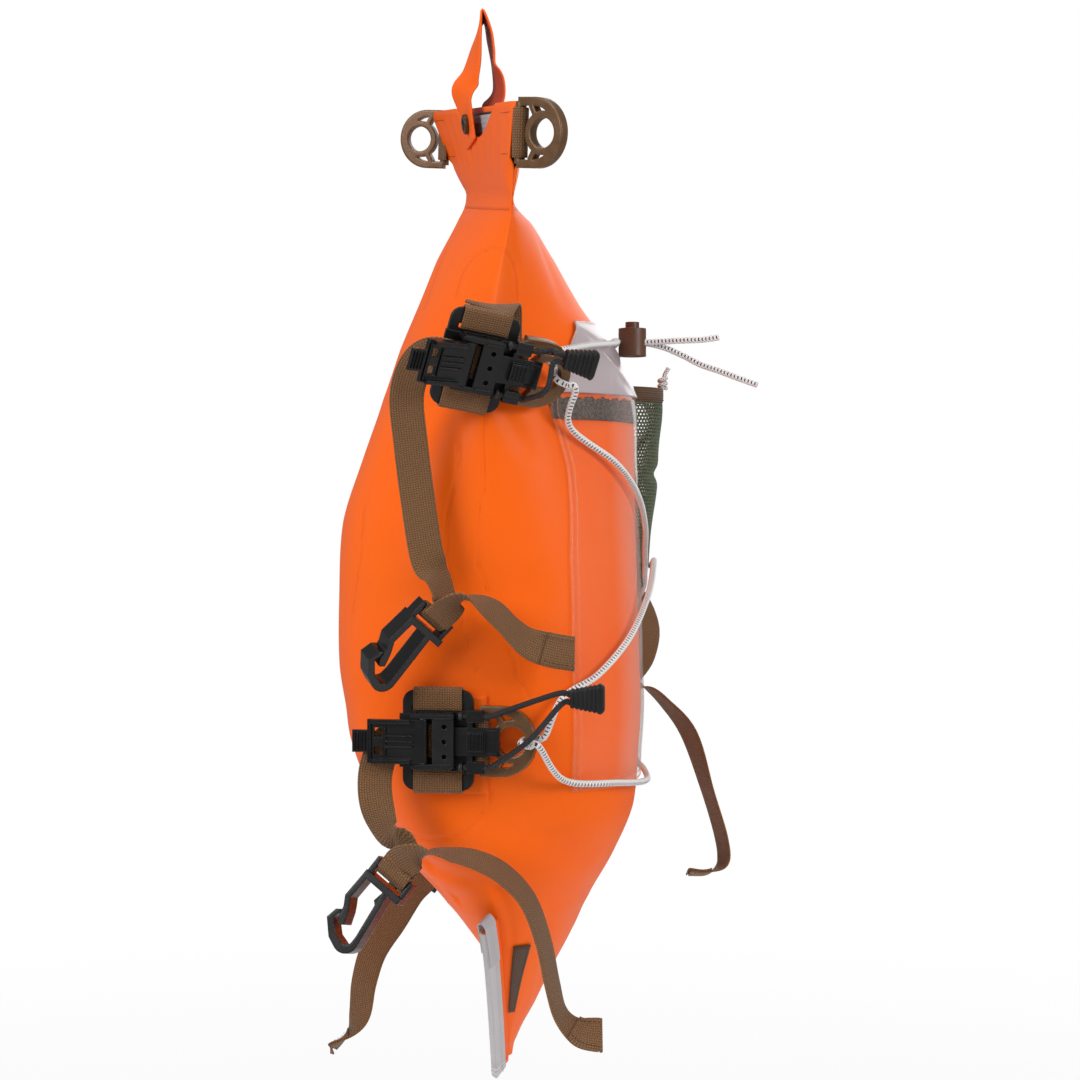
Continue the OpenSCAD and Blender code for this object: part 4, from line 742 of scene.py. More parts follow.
rivet_brown = moulded("snap_rivet_brown", "#4A3320", rough=0.35, painted_edge_glint="#8A6A46", edge_mm=0.4)
rivet_dark = moulded("snap_rivet_socket", "#17130F", rough=0.5, painted_edge_glint="#2A2420", edge_mm=0.3)
dress(rivet_brown, "loop_rivets")
cap = [(6.3, 0.0), (6.4, 0.5), (6.1, 0.9), (5.2, 1.15), (4.2, 1.15), (3.9, 0.9)]
bowl = [(3.9, 0.9), (3.6, 0.35), (2.4, 0.2), (0.2, 0.2)]
for name, at, turn, lean in [("deck", (np.array([-10.3, 0, -66]) + [-8.8, 0, -76]) / 2, MOUTH_TURN - 1.8,
                              -98.5), ("top", np.array([4.1, -7, -76]), MOUTH_TURN - 1, 82)]:
    a, b = math.radians(turn), math.radians(lean)
    axis = np.array([math.sin(b) * math.cos(a), math.sin(b) * math.sin(a), math.cos(b)])
    at = at + axis * (LOOP_T / 2 + 0.25 + 1.45)
    (p1, f1), (p2, f2) = lathe(cap, at, axis), lathe(bowl, at, axis)
    # the cap is open at its head, where the bowl's floor shuts it
    sunk = [[k + len(p1) for k in f] for f in f2[:-2] + f2[-1:]]
    made = piece("snap_cap_" + name, np.vstack([p1, p2]), f1[:-1] + sunk, None, [rivet_brown, rivet_dark],
                 which=[0] * len(f1[:-1]) + [1] * len(sunk))
    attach(made, "bag")


# ---- D rings at the mouth, and the webbing round their bars ----
# Brown moulded D rings with a round eye held by spokes swing on the mouth's two ends. A tab of
# 30 mm webbing goes round each bar and in between the skirts.
def satin_bronze(name, light, dark):
    """Bronze-coloured glass-filled nylon with a satin, slightly metallic look: flow marks, and edges painted paler as a
    highlight
    """
    made, tree, shader = finish_named(name)
    flow = noise(tree, 95.0, Detail=5.0, Roughness=0.6, Distortion=0.4)
    rounded, edge_glint_share = rounded_edges_and_glint(tree, 0.0019, 8, 0.98, 0.7, 0.8)
    # flow marks, and a painted highlight that makes the edges paler
    fill(tree, shader, Base_Color=mixed(tree, calc(tree, "MULTIPLY_ADD", flow, 0.5, edge_glint_share), dark, light),
         Roughness=remap(tree, flow, 0.3, 0.7, 0.22, 0.38),
         Normal=relief(tree, noise(tree, 700.0, Detail=2.0), 0.12, 0.0003, Normal=rounded), Metallic=0.25)
    return made


ring_bronze = satin_bronze("ring_nylon_bronze", "#8C6742", "#5C4027")
dress(ring_bronze, "mouth_ring_near", "mouth_ring_far", "lacing_rings")
webbing = woven_tape("webbing_coyote_brown", "#8C6138", "#5A3D24", rib=1.35, column=1.5, depth=0.0006)
RING_BAR_D, TIE_W, WEB_T = 6.4, 29.0, 1.5
mouth_bar = MOUTH_W / 2 + 7.4
RING_LEVEL = 37.0


def around(angle, axis, p):
    """p turned about X, Y or Z by that many degrees"""
    a = math.radians(angle)
    c, s = math.cos(a), math.sin(a)
    m = {"x": [[1, 0, 0], [0, c, -s], [0, s, c]], "y": [[c, 0, s], [0, 1, 0], [-s, 0, c]],
         "z": [[c, -s, 0], [s, c, 0], [0, 0, 1]]}[axis]
    return np.asarray(p, float) @ np.array(m).T


def at_mouth_ring(side, p):
    """From a ring's own frame, nose along +X and bar along Z, to the part's"""
    p = around(90 * side, "z", p) + np.array([0, side * mouth_bar, 0])
    p = around(8 + RING_LEVEL / SKIRT_H * (MOUTH_TURN - 8), "z", around(MOUTH_TILT, "x", p))
    return p + mouth(RING_LEVEL, 0, 0)


def bar_loop(r, foot, lap=12.0):
    """Line of webbing round a bar at the origin: along -X on both sides of it, or on one"""
    angles = np.linspace(-120, 90, 15) if foot else np.linspace(-118, 118, 19)
    turn = [(r * math.cos(a), r * math.sin(a), 0) for a in np.radians(angles)]
    if foot:
        return [(-0.9 * r, -0.35 * r, 0)] + turn + [(-foot * t, r, 0) for t in np.linspace(0.15, 1, 6)]
    legs = [[(-r - lap, y, 0), (-r - lap * 0.5, y, 0), (-r - 1.5, y + 0.3 * np.sign(y), 0)]
            for y in (-1.9, 1.9)]
    return legs[0] + turn + legs[1][::-1]


def webbing_piece(name, path, across, width, thick, nodes=()):
    """A length of webbing along a line, and the CAD nodes that it stands for"""
    made = piece(name, *sweep(path, across, flat_strap(width, thick)), [webbing])
    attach(made, "bag")
    if nodes:
        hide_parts(*nodes)
    return made


def webbing_loop(name, line, place, nodes):
    """Webbing along a line in a fitting's own frame, its width along the fitting's Z"""
    path = place(np.array(line, float))
    webbing_piece(name, path, place(np.array(line, float) + [0, 0, 1]) - path, TIE_W, 1.4, nodes)


BAR_WRAP = RING_BAR_D / 2 + 0.06 + WEB_T / 2
for side, end in [(-1, "near"), (1, "far")]:
    webbing_loop("mouth_webbing_" + end, bar_loop(BAR_WRAP, 0, 13.9), lambda p: at_mouth_ring(side, p),
                 ["mouth_keeper_" + end])


# ---- Map window, its flap and grip strip ----
# A clear vinyl sheet is welded over the top panel along a double line, its mouth closed by a milky
# flap. A strip of fuzzy grip tape shows through below the flap.
def clear_vinyl(name, tint, alpha, grazing_painted_sheen, rough, ripple=0.0, shine=1.0):
    """Clear or milky plasticised vinyl: wet-looking gloss, slight waviness, and more of its pale tint at a grazing
    angle as a painted reflection
    """
    made, tree, shader = finish_named(name)
    place = add(tree, "ShaderNodeTexCoord").outputs["Object"]
    stretch = add(tree, "ShaderNodeMapping", Vector=place, Scale=(1.0, 1.0, 0.25)).outputs[0]
    wave = noise(tree, 26.0, stretch, Detail=2.0, Roughness=0.4)
    edge_on = add(tree, "ShaderNodeLayerWeight", Blend=0.35).outputs["Facing"]
    # alpha rises towards grazing angles, so the pale tint shows there: a painted reflection on top of the milkiness set
    # by alpha
    cover = calc(tree, "MULTIPLY_ADD", wave, 0.06, remap(tree, edge_on, 0.4, 1.0, alpha, grazing_painted_sheen))
    fill(tree, shader, Alpha=cover, Normal=relief(tree, wave, 0.25 + ripple, 0.0016), Base_Color=colour(tint),
         Roughness=rough, Specular_IOR_Level=0.5, Coat_Weight=shine, Coat_Roughness=0.05)
    return made


WINDOW_TOP, WINDOW_FOOT, WINDOW_FAR, FLAP_TOP = 0.237, 0.662, 11.25, 0.15


def near_edge(f):
    """Angle of the map window's near edge: it slants under the flap and bows a little below it"""
    return float(np.interp(f, [0.15, 0.168, 0.194, 0.218, 0.237, 0.26, 0.288, 0.322, 0.364, 0.42, 0.50, 0.66],
                           [-36, -41, -49.5, -56, -60, -62, -61, -60.5, -62.5, -65.5, -67.5, -67.5]))


def skin_sheet(name, side, shares, rounds, low, thick, material, fall=None):
    """A thin sheet low mm off the body, at those shares down it and at one row of angles round it for each"""
    grids = []
    for out in (low + thick, low):
        grid = np.array([skin(side, f, g, out) for f, g in zip(shares, rounds)])
        if fall is not None:
            grid[..., 0] += side * np.array([fall(f, g) for f, g in zip(shares, rounds)])
        grids.append(grid)
    return piece(name, *sheet_mesh(*grids, turned=side < 0), [material])


def window_sheet(name, top, foot, rows, columns, material, fall=None):
    """A sheet from the window's near edge to its far one"""
    shares, ways = np.linspace(top, foot, rows), np.linspace(0, 1, columns)
    rounds = [near_edge(f) + (WINDOW_FAR - near_edge(f)) * ways for f in shares]
    return skin_sheet(name, 1, shares, rounds, 1.45, 0.5, material, fall)


window_vinyl = clear_vinyl("vinyl_clear", "#F6DED6", 0.0, 0.34, 0.08, ripple=0.3, shine=0.7)
flap_vinyl = clear_vinyl("vinyl_milky", "#C6B8BC", 0.78, 0.92, 0.22, ripple=0.4, shine=0.35)


def flap_slack(f, g):
    """Three soft folds of the flap, in mm"""
    return (0.9 * np.exp(-((f - 0.19 - 0.0009 * g) / 0.008) ** 2) + 0.8
            * np.exp(-((g + 28 - 400 * (f - 0.19)) / 3.5) ** 2) + 0.7
            * np.exp(-((g - 2 + 300 * (f - 0.2)) / 4.0) ** 2))


window = window_sheet("map_window_sheet", WINDOW_TOP, WINDOW_FOOT, 90, 60, window_vinyl)
flap = window_sheet("map_flap_sheet", FLAP_TOP, WINDOW_TOP, 40, 50, flap_vinyl, flap_slack)
for made, node, finish in [(window, "map_window", "clear_vinyl"), (flap, "map_flap", "milky_vinyl")]:
    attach(made, "bag")
    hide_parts(node)


def weld_bead(name, shares, angles, lift, width, rise):
    """A flat raised weld lift mm off the top panel, through those shares down it and angles round it"""
    path, above = [np.array([skin(1, f, g, out) for f, g in zip(shares, angles)]) for out in (lift, lift + 1.0)]
    half = width / 2
    outline = [(-half, 0), (-half * 0.7, -rise), (half * 0.7, -rise), (half, 0), (0, 0.2)]
    made = piece(name, *sweep(path, np.cross(heading(path), above - path), outline), [weld_vinyl])
    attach(made, "bag")


weld_vinyl = clear_vinyl("vinyl_weld", "#F0A884", 0.10, 0.45, 0.2, shine=0.4)
shares = np.linspace(WINDOW_TOP, WINDOW_FOOT, 60)
for k, shift in enumerate((0.5, 2.6)):
    for tag, rows, angles in [("near", shares, [near_edge(f) + shift for f in shares]),
                              ("far", shares, [WINDOW_FAR - shift] * 60),
                              ("foot", [WINDOW_FOOT - 0.0032 * shift] * 40, np.linspace(-67, 11, 40))]:
        weld_bead("window_weld_%s_%d" % (tag, k), rows, angles, 2.0, 1.1, 0.2)
shares = np.linspace(0.152, 0.236, 24)
for tag, rows, angles in [("near", shares, [near_edge(f) + 0.6 for f in shares]),
                          ("head", [0.152] * 30, np.linspace(-36, 10.5, 30))]:
    weld_bead("flap_weld_" + tag, rows, angles, 2.1, 2.2, 0.35)


def grip_fuzz(name):
    """Hook-and-loop pile: a matt grey-brown felt with paler and darker loops at random"""
    made, tree, shader = finish_named(name)
    fine = noise(tree, 520.0, Detail=3.0, Roughness=0.7)
    hue = mixed(tree, remap(tree, fine, 0.35, 0.65, 0.0, 1.0), "#3A322D", "#71675F")
    fill(tree, shader, Base_Color=hue, Normal=relief(tree, fine, 1.0, 0.0008), Roughness=0.95)
    return made


fuzz = grip_fuzz("grip_pile_grey")


def grip_grid(out):
    """Ten rows of points of the grip strip, out mm off the body, its upper edge a little ragged"""
    angles = np.linspace(-61, WINDOW_FAR, 70)
    a, b = skin(1, WINDOW_TOP, angles, out), skin(1, WINDOW_TOP + 0.0355, angles, out)
    rows = np.array([(1 - t) * a + t * b for t in np.linspace(0.15, 0.85, 10)])
    rows[0, :, 2] += 0.9 * np.sin(angles * 2.3) + 0.7 * np.sin(angles * 5.1 + 1)
    return rows


grip = piece("grip_strip", *sheet_mesh(grip_grid(0.9), grip_grid(0.3)), [fuzz])
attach(grip, "bag")
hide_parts("map_grip_strip")

# Loops of the pile: short bars thrown over the strip, made by a Geometry Nodes tree with a fixed seed
tree, given, keys = geometry_tree("pile_scatter", "Strip", "Pile",
                                  {"Loops per square metre": 620000.0, "Loop length": 0.0013, "Seed": 7})
spread = add(tree, "GeometryNodeDistributePointsOnFaces", Mesh=given["Strip"],
             Density=given["Loops per square metre"], Seed=given["Seed"])
tilt = add(tree, "FunctionNodeRandomValue", {"data_type": "FLOAT_VECTOR"}, i0=(-1.2, -1.2, 0.0),
           i1=(1.2, 1.2, 6.28), Seed=given["Seed"])
hair = add(tree, "GeometryNodeMeshCone", Vertices=3, Depth=given["Loop length"], i3=0.00006, i4=0.00016)
flat_faces = [(i * 70 + j, (i + 1) * 70 + j, (i + 1) * 70 + j + 1, i * 70 + j + 1) for i in range(9)
              for j in range(69)]
pile = piece("grip_pile", grip_grid(0.9).reshape(-1, 3), flat_faces, None, [fuzz])
grow(pile, tree, keys, fuzz, False, Points=spread.outputs["Points"], Instance=hair.outputs["Mesh"],
     Rotation=swung(tree, spread.outputs["Rotation"], tilt.outputs[0]))
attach(pile, "bag")

patch_nylon = coated_nylon("coated_nylon_patch", "#FD6D14", "#F5600D")
for a, b, tag in [(-90, -67.5, "near"), (67.5, 90, "far")]:
    patch = skin_sheet("buckle_patch_" + tag, -1, np.linspace(0.56, 0.6625, 30), [np.linspace(a, b, 20)] * 30,
                       0.3, 0.7, patch_nylon)
    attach(patch, "bag")
    if tag == "near":
        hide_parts("buckle_patches")


# ---- Mesh pocket ----
# Olive polyester net on the far shoulder, open at the top under a brown binding with a drawcord
# stub and knot. The net is pinched in where a seam crosses it. Its pitch is the real 2.6 mm.
POCKET_TOP, POCKET_FOOT, POCKET_BULGE, POCKET_G, POCKET_WIDE = 0.237, 0.467, 34.0, 13.0, 30.0


def pocket_point(f, g, extra):
    """A point of the net at a share down the body and an angle round it, extra mm off it"""
    s, w = (f - POCKET_TOP) / (POCKET_FOOT - POCKET_TOP), (g - POCKET_G) / POCKET_WIDE
    pinch = 1 - 0.13 * math.exp(-((s - 0.36) / 0.035) ** 2) + 0.03 * math.sin(14 * s + 5 * w)
    arch = max(math.sin(math.pi * min(max(w, 0), 1)), 0) ** 0.6
    bulge = POCKET_BULGE * arch * (1 - 0.7 * s) * min(1, (1.0 - s) * 14) * pinch
    return skin(1, f, g, 0.5) + (bulge + extra) * np.array([0.95, 0.31, 0])


def net_thread(name, light, dark):
    """Knitted polyester net yarn, matt, with a slight twist"""
    made, tree, shader = finish_named(name)
    twist = noise(tree, 420.0, Detail=3.0)
    fill(tree, shader, Base_Color=mixed(tree, twist, dark, light), Normal=relief(tree, twist, 0.6, 0.0003),
         Roughness=0.75, Sheen_Weight=0.2)
    return made


net_olive = net_thread("net_polyester_olive", "#6E7A5C", "#333A2B")
profile = [pocket_point(0.30, POCKET_G + POCKET_WIDE * t, 0) for t in np.linspace(0, 1, 200)]
run = run_of(profile)
girth, tall, pitch = run[-1], (POCKET_FOOT - POCKET_TOP) * BODY_H, 2.6
columns = int(girth / pitch)
cell = girth / columns
index, corners, cells = {}, [], []


def net_knot(u, v):
    """Number of the net's corner at u mm round the pocket and v mm down it"""
    key = (round(u, 2), round(v, 2))
    if key not in index:
        w = np.interp(min(max(u, 0), girth), run, np.linspace(0, 1, 200))
        f = min(max(POCKET_TOP + v / BODY_H, POCKET_TOP), POCKET_FOOT)
        index[key] = len(corners)
        corners.append(pocket_point(f, POCKET_G + POCKET_WIDE * w, 0.5))
    return index[key]


r = cell / math.sqrt(3)
for j in range(int(tall / (1.5 * r))):
    for i in range(columns - j % 2):
        cx, cy = (i + 0.5 + 0.5 * (j % 2)) * cell, (j + 0.7) * 1.5 * r
        cells.append([net_knot(cx + r * math.sin(a), cy + r * math.cos(a))
                      for a in np.radians(range(0, 360, 60))][::-1])
net = piece("mesh_pocket_net", corners, cells, None, [net_olive])
wires = net.modifiers.new("wires", "WIREFRAME")
wires.thickness = 0.0014
wires.use_boundary = True
wires.use_even_offset = False
keep_shape(net)
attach(net, "bag")
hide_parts("mesh_pocket")

tape_brown = woven_tape("binding_tape_brown", "#6F4F35", "#3D2A1A", rib=1.5, column=50.0)
angles = POCKET_G + POCKET_WIDE * np.linspace(0, 1, 40)
levels = np.linspace(10.2, 0.5, 8)
puff = 0.5 * np.sin(np.linspace(0, math.pi, 8))
grids = [[[pocket_point(POCKET_TOP, g, extra + fat * b) + [0, 0, z] for g in angles] for z,
          b in zip(levels, puff)] for extra, fat in ((1.5, 1), (-0.15, -0.3))]
band = piece("pocket_top_binding", *sheet_mesh(*grids), [tape_brown])
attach(band, "bag")
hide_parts("pocket_binding")
row = [pocket_point(POCKET_TOP, g, 2.15) + [0, 0, 2.2] for g in POCKET_G + POCKET_WIDE
       * np.linspace(0.03, 0.97, 60)]
repeat_along("pocket_stitches", row, brown_thread, 2.8, (2.0, 0.45, 0.35))


def strands(tree, lanes, pitch):
    """Height of strands that cross both ways round a cord, and the share that paints the grooves between them darker as
    painted shade
    """
    around_it, along = flat_place(tree)
    steps = calc(tree, "MULTIPLY", along, 2 * math.pi / pitch)
    waves = [calc(tree, "SINE", calc(tree, "MULTIPLY_ADD", around_it, way * lanes, steps)) for way in (1, -1)]
    height = calc(tree, "MAXIMUM", *waves)
    return height, remap(tree, height, -0.6, 0.9, 0.0, 1.0)


def braided_cord(name, light, dark, pitch=2.0, rough=0.6):
    """Braided cord: strands crossing both ways round it, paler on their crowns and darker in the grooves as painted
    shade
    """
    made, tree, shader = finish_named(name)
    height, share = strands(tree, 2 * math.pi / pitch, pitch)
    # the colour darkens in the grooves between the strands: painted shade
    fill(tree, shader, Base_Color=mixed(tree, share, dark, light), Normal=relief(tree, height, 0.7, 0.0005),
         Roughness=rough)
    return made


def round_outline(d, sides):
    """Outline of a round cord"""
    angles = np.linspace(0, 2 * math.pi, sides, endpoint=False)
    return [(d / 2 * math.cos(a), d / 2 * math.sin(a)) for a in angles]


def cord_tube(name, points, d, steps, material, sides=12):
    """A round cord along given points in mm, and the line that it follows"""
    path = smooth_path(points, steps)
    ahead = heading(path)
    ups = [np.cross(ahead[0], [0.31, 0.12, 0.94])]
    for t in ahead:
        ups.append(unit(ups[-1] - (ups[-1] @ t) * t))
    return piece(name, *sweep(path, ups[1:], round_outline(d, sides), wrap=True), [material]), path


stub_braid = braided_cord("drawcord_white_braid", "#F4F0EE", "#B9B0AC")
mid = pocket_point(POCKET_TOP, POCKET_G + POCKET_WIDE * 0.42, 0)
stub_line = [mid + p for p in ([0.5, 0, 3], [1, 0, 9], [2.2, 0.4, 14], [3.4, 0.4, 20], [6, 0.2, 24.5])]
stub, line = cord_tube("drawcord_stub", stub_line, 3.0, 5, stub_braid)
knot_line = [mid + [1.9 + 2.3 * math.cos(a), 1.8 * math.sin(a), 10.6 + 0.55 * a]
             for a in np.linspace(0, 4.4 * math.pi, 22)]
knot, line = cord_tube("drawcord_knot", knot_line, 2.9, 3, stub_braid)
for made in (stub, knot):
    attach(made, "bag")


# ---- Buckle plates and their webbing ----
# On each end of the bag sit two black moulded plates, tied down by 30 mm webbing through a slot at
# each end. The upper pair hangs on longer webbing and droops; the lower pair lies flat on a patch.
BUCKLE_X, BUCKLE_Z, BUCKLE_OFF = (-1, -22), (-237, -458), (16, 1.2)
BUCKLE_ROLL, BUCKLE_YAW, BUCKLE_PITCH = (10, 0), (20, -10), (19, 0)
UPPER, LOWER = 0, 1
PLATE_T, PLATE_H = 3.0, 58.6
ENDS = {-1: "near", 1: "far"}
BUCKLES = [(which, side, "%s_%s" % (name, ENDS[side]))
           for which, name in ((UPPER, "upper"), (LOWER, "lower")) for side in (-1, 1)]


def at_buckle(which, side, p):
    """From a buckle's own frame to the part's: X along the strap, -Y away from the bag, Z across the strap"""
    p = around(BUCKLE_YAW[which], "z", around(BUCKLE_PITCH[which], "x", p))
    p = around(BUCKLE_ROLL[which], "y", p)
    p = p + np.array([BUCKLE_X[which], -BODY_W / 2 - BUCKLE_OFF[which], BUCKLE_Z[which]])
    return p * np.array([1, -side, 1])


black_nylon = moulded("buckle_nylon_black", "#121214", rough=0.36, painted_edge_glint="#4A4A50", edge_mm=0.9, level=0.42)
black_acetal = moulded("lever_acetal_black", "#0F0F11", rough=0.27, painted_edge_glint="#46464C", edge_mm=1.0, level=0.45)
dress(black_nylon, "plates", "buckle_frames")
dress(black_acetal, *[kind + tag for kind in ("cam_lever_", "release_") for _, _, tag in BUCKLES])


def ground_steel(name):
    """Ground stainless steel pin: fine rings from grinding, half-bright"""
    made, tree, shader = finish_named(name)
    gloss = remap(tree, noise(tree, 1500.0, Detail=2.0), 0.3, 0.7, 0.22, 0.4)
    fill(tree, shader, Roughness=gloss, Base_Color=colour("#BDBDC0"), Metallic=1.0)
    return made


steel = ground_steel("pin_steel_ground")
dress(steel, "lever_pins")

SLOT_IN = PLATE_H / 2 - 10.8 - 1.4
CLEAR = 0.3 + WEB_T / 2
TIE_FEET = [
    [[7.5, -23, -208.5, 1, 0.3, -0.1], [9, -17, -206, 1, 0.25, -0.1], [11, -8, -205, 1, 0.15, 0],
     [12, -1.5, -208, 1, 0.1, 0], [12, 0.6, -217, 1, 0.1, 0], [12, 0.4, -226, 1, 0.1, 0]],
    [[-8, -4.2, -258.5, 1, 0.3, -0.1], [-5.5, -2.8, -253, 1, 0.2, -0.1], [-1, -1.6, -247, 1, 0, 0],
     [2, -1.4, -239, 1, 0, 0]]]


def beside(rows):
    """Stations given from the bag's near edge"""
    return [*np.subtract(rows, [0, BODY_W / 2, 0, 0, 0, 0])]


for which, side, tag in BUCKLES:
    for m, end in [(1, "top"), (-1, "low")]:
        # over the plate's end bar: in through the slot, round the end and back along its rear face
        y0, y1, zo, zi = -PLATE_T - CLEAR, CLEAR, PLATE_H / 2 + CLEAR, SLOT_IN + CLEAR
        ring = [(y0 + 0.6, zi - 0.4), (y0, zi + 1.2), (y0 - 0.1, (zi + zo) / 2), (y0, zo - 1.0),
                ((y0 + y1) / 2, zo + 0.1), (y1, zo - 1.0), (y1 + 0.1, (zi + zo) / 2), (y1, zi + 1.0)]
        if which == LOWER:
            ring += [(1.3, 12.5), (1.4, 8), (1.45, 3.5)]
        line = smooth_path([(0, y, z * m) for y, z in ring], 4)
        path, other = at_buckle(which, side, line), at_buckle(which, side, line + [1, 0, 0])
        first = (which, side, m) == (UPPER, -1, 1)
        webbing_piece("plate_webbing_%s_%s" % (tag, end), path, other - path, TIE_W, 1.35,
                      ["plate_keepers"] if first else ())
for side in (-1, 1):
    for rows, end in zip(TIE_FEET, ("top", "low")):
        path, across = [line * [1, -side, 1] for line in stations(beside(rows), 4)]
        webbing_piece("tie_foot_%s_%s" % (ENDS[side], end), path, across, TIE_W, 1.35)


# ---- Cam buckles: moulded detail ----
# Frame, cam lever and release slider are black glass-filled nylon and acetal. Ribs, a thumb rest,
# grip bars and a gusset are moulded on each; they ride with the piece they are on.
FRAME_W, FRAME_TOP, PIN_X, PIN_Y = 31.4, PLATE_T + 11, -7.5, -PLATE_T - 8
LEVER_REST, LEVER_L, TAB_L, KNUCKLE_R = (20, 0), 41.0, 9.0, 3.6


def bar(lo, hi, soft=0.45):
    """Points and faces of a bar with chamfered long edges between two corners"""
    lo, hi = np.minimum(lo, hi).astype(float), np.maximum(lo, hi).astype(float)
    s = min(soft, 0.45 * min(hi - lo))
    pts, fcs = [], []
    for x, k in [(lo[0], 1), (lo[0] + s, 0), (hi[0] - s, 0), (hi[0], 1)]:
        a, b, c, d = lo[1] + k * s, hi[1] - k * s, lo[2] + k * s, hi[2] - k * s
        pts += [(x, a + s, c), (x, b - s, c), (x, b, c + s), (x, b, d - s), (x, b - s, d), (x, a + s, d),
                (x, a, d - s), (x, a, c + s)]
    for i in range(3):
        fcs += [(i * 8 + j, i * 8 + (j + 1) % 8, (i + 1) * 8 + (j + 1) % 8, (i + 1) * 8 + j) for j in range(8)]
    fcs += [list(range(7, -1, -1)), [24 + j for j in range(8)]]
    return np.array(pts, float), fcs


def cluster(name, bars, place, material, body, turned):
    """Several bars in a fitting's own frame as one piece"""
    points, faces = [], []
    for lo, hi in bars:
        p, f = bar(lo, hi)
        faces += [[k + len(points) for k in g] for g in f]
        points += list(p)
    made = piece(name, place(np.array(points)), [f[::-1] for f in faces] if turned else faces, None, [material],
                 smooth=False)
    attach(made, body)


for which, side, tag in BUCKLES:
    def on_plate(p):
        return at_buckle(which, side, p)

    def on_lever(p):
        return on_plate(around(LEVER_REST[which], "z", p - [PIN_X, PIN_Y, 0]) + [PIN_X, PIN_Y, 0])

    # side walls: an outer rib and a boss pad; bridge: two low rails; floor: cross ribs at its mouth
    top, wall, rib = -FRAME_TOP, FRAME_W / 2, FRAME_W / 2 + 0.7
    bars = [((-13, top, z * wall), (10.5, top + 1.6, z * rib)) for z in (-1, 1)]
    bars += [((-13.4, -5.2, z * wall), (10.9, -3.9, z * rib)) for z in (-1, 1)]
    bars += [((x, -12.0, z * wall), (x + 1.5, -5.0, z * rib)) for z in (-1, 1) for x in (-13, 1.2, 9.2)]
    bars += [((0.2, top - 0.6, z - 0.7), (10.8, top + 0.2, z + 0.7)) for z in (-13.4, 13.4)]
    cluster("frame_ribs_" + tag, bars, on_plate, black_nylon, "bag", side > 0)
    # lever: thumb ribs on the tab, a centre web, chamfered shoulders
    x0, ty = PIN_X - LEVER_L + TAB_L, PIN_Y - KNUCKLE_R
    bars = [((x, ty - 0.7, -5.4), (x + 0.9, ty + 0.1, 5.4)) for x in x0 - TAB_L + 1.0 + 2.1 * np.arange(4)]
    bars += [((x0 + 11.2, ty - 1.1, z - 0.7), (PIN_X - 4.5, ty + 0.1, z + 0.7)) for z in (-3.2, 0, 3.2)]
    bars += [((x0 + 1.2, ty - 1.0, -10.6), (x0 + 2.6, ty + 0.1, 10.6)),
             ((x0 + 10.2, ty - 1.2, -8.2), (x0 + 11.4, ty + 0.1, 8.2))]
    cluster("lever_ribs_" + tag, bars, on_lever, black_acetal, "lever_" + tag, side > 0)
    # release: grip steps on the latch block, and a ridge down the tongue
    bars = [((x, -14.0, -4.9), (x + 1.1, -13.4, 4.9)) for x in 20.4 + 2.2 * np.arange(4)]
    bars += [((29.8, -10.8, z - 0.8), (37.2, -10.1, z + 0.8)) for z in (-6.6, 6.6)]
    cluster("release_ribs_" + tag, bars, on_plate, black_acetal, "release_" + tag, side > 0)


# ---- Rip cords and their pulls ----
# Each release is pulled by a black braided cord through its two ears, with a ribbed rubbery pull
# moulded on the bight.
RIP_D, EAR_X, EAR_Z, RIP_Y, PULL_L = 3.4, 19.0, FRAME_W / 2 - 0.9, -10.6, 18.0
PULL_AT = [np.array([46.0, -20, 16]), np.array([80.0, -13, 26])]
rip_braid = braided_cord("rip_cord_black_braid", "#2C2C30", "#0B0B0D", pitch=1.7, rough=0.5)
pull_rubber = moulded("pull_rubber_black", "#151517", rough=0.42, grain=600.0, painted_edge_glint="#45454A", edge_mm=0.8,
                      level=0.4)


def rip_route(q):
    """Line of a rip cord from the upper ear through its pull, at q, and back to the lower ear"""
    ears = [[[EAR_X + x, RIP_Y, z * EAR_Z] for x in (-2.4, 10.4, 13.5)] for z in (1, -1)]
    up, down = [(q + [EAR_X + 12, RIP_Y, z * EAR_Z]) / 2 for z in (1, -1)]
    grip = [q + p for p in ([-6, 0, 3], [0, 0, 2.2], [5, 0, 2.2], [8, 0, 0], [5, 0, -2.2], [0, 0, -2.2],
                            [-6, 0, -4])]
    return [*ears[0], up + [1, 0, 3], *grip, down + [1, -7.6, -4], *ears[1][::-1]]


def pull_shape():
    """Trapezoid pull with ribs across both faces, from stations along it: x, half height, half thickness"""
    rows = [(0.0, 4.9, 3.2), (0.5, 5.5, 3.9)]
    for k in range(6):
        x = 1.6 + 2.55 * k
        wide = 5.5 + 3.5 * x / PULL_L
        rows += [(x, wide, 4.0), (x + 0.55, wide - 0.55, 3.35), (x + 1.15, wide - 0.5, 3.35),
                 (x + 1.7, wide + 0.2, 4.0)]
    rows += [(PULL_L - 0.6, 9.0, 4.0), (PULL_L + 0.7, 8.2, 3.7), (PULL_L + 1.45, 6.8, 2.9)]
    points, sides = [], 16
    for x, h, t in rows:
        for a in np.linspace(0, 2 * math.pi, sides, endpoint=False):
            c, s = math.cos(a), math.sin(a)
            points.append((x, t * math.copysign(abs(s) ** 0.35, s), h * math.copysign(abs(c) ** 0.35, c)))
    return np.array(points), [f[::-1] for f in tube_faces(len(rows), sides)]


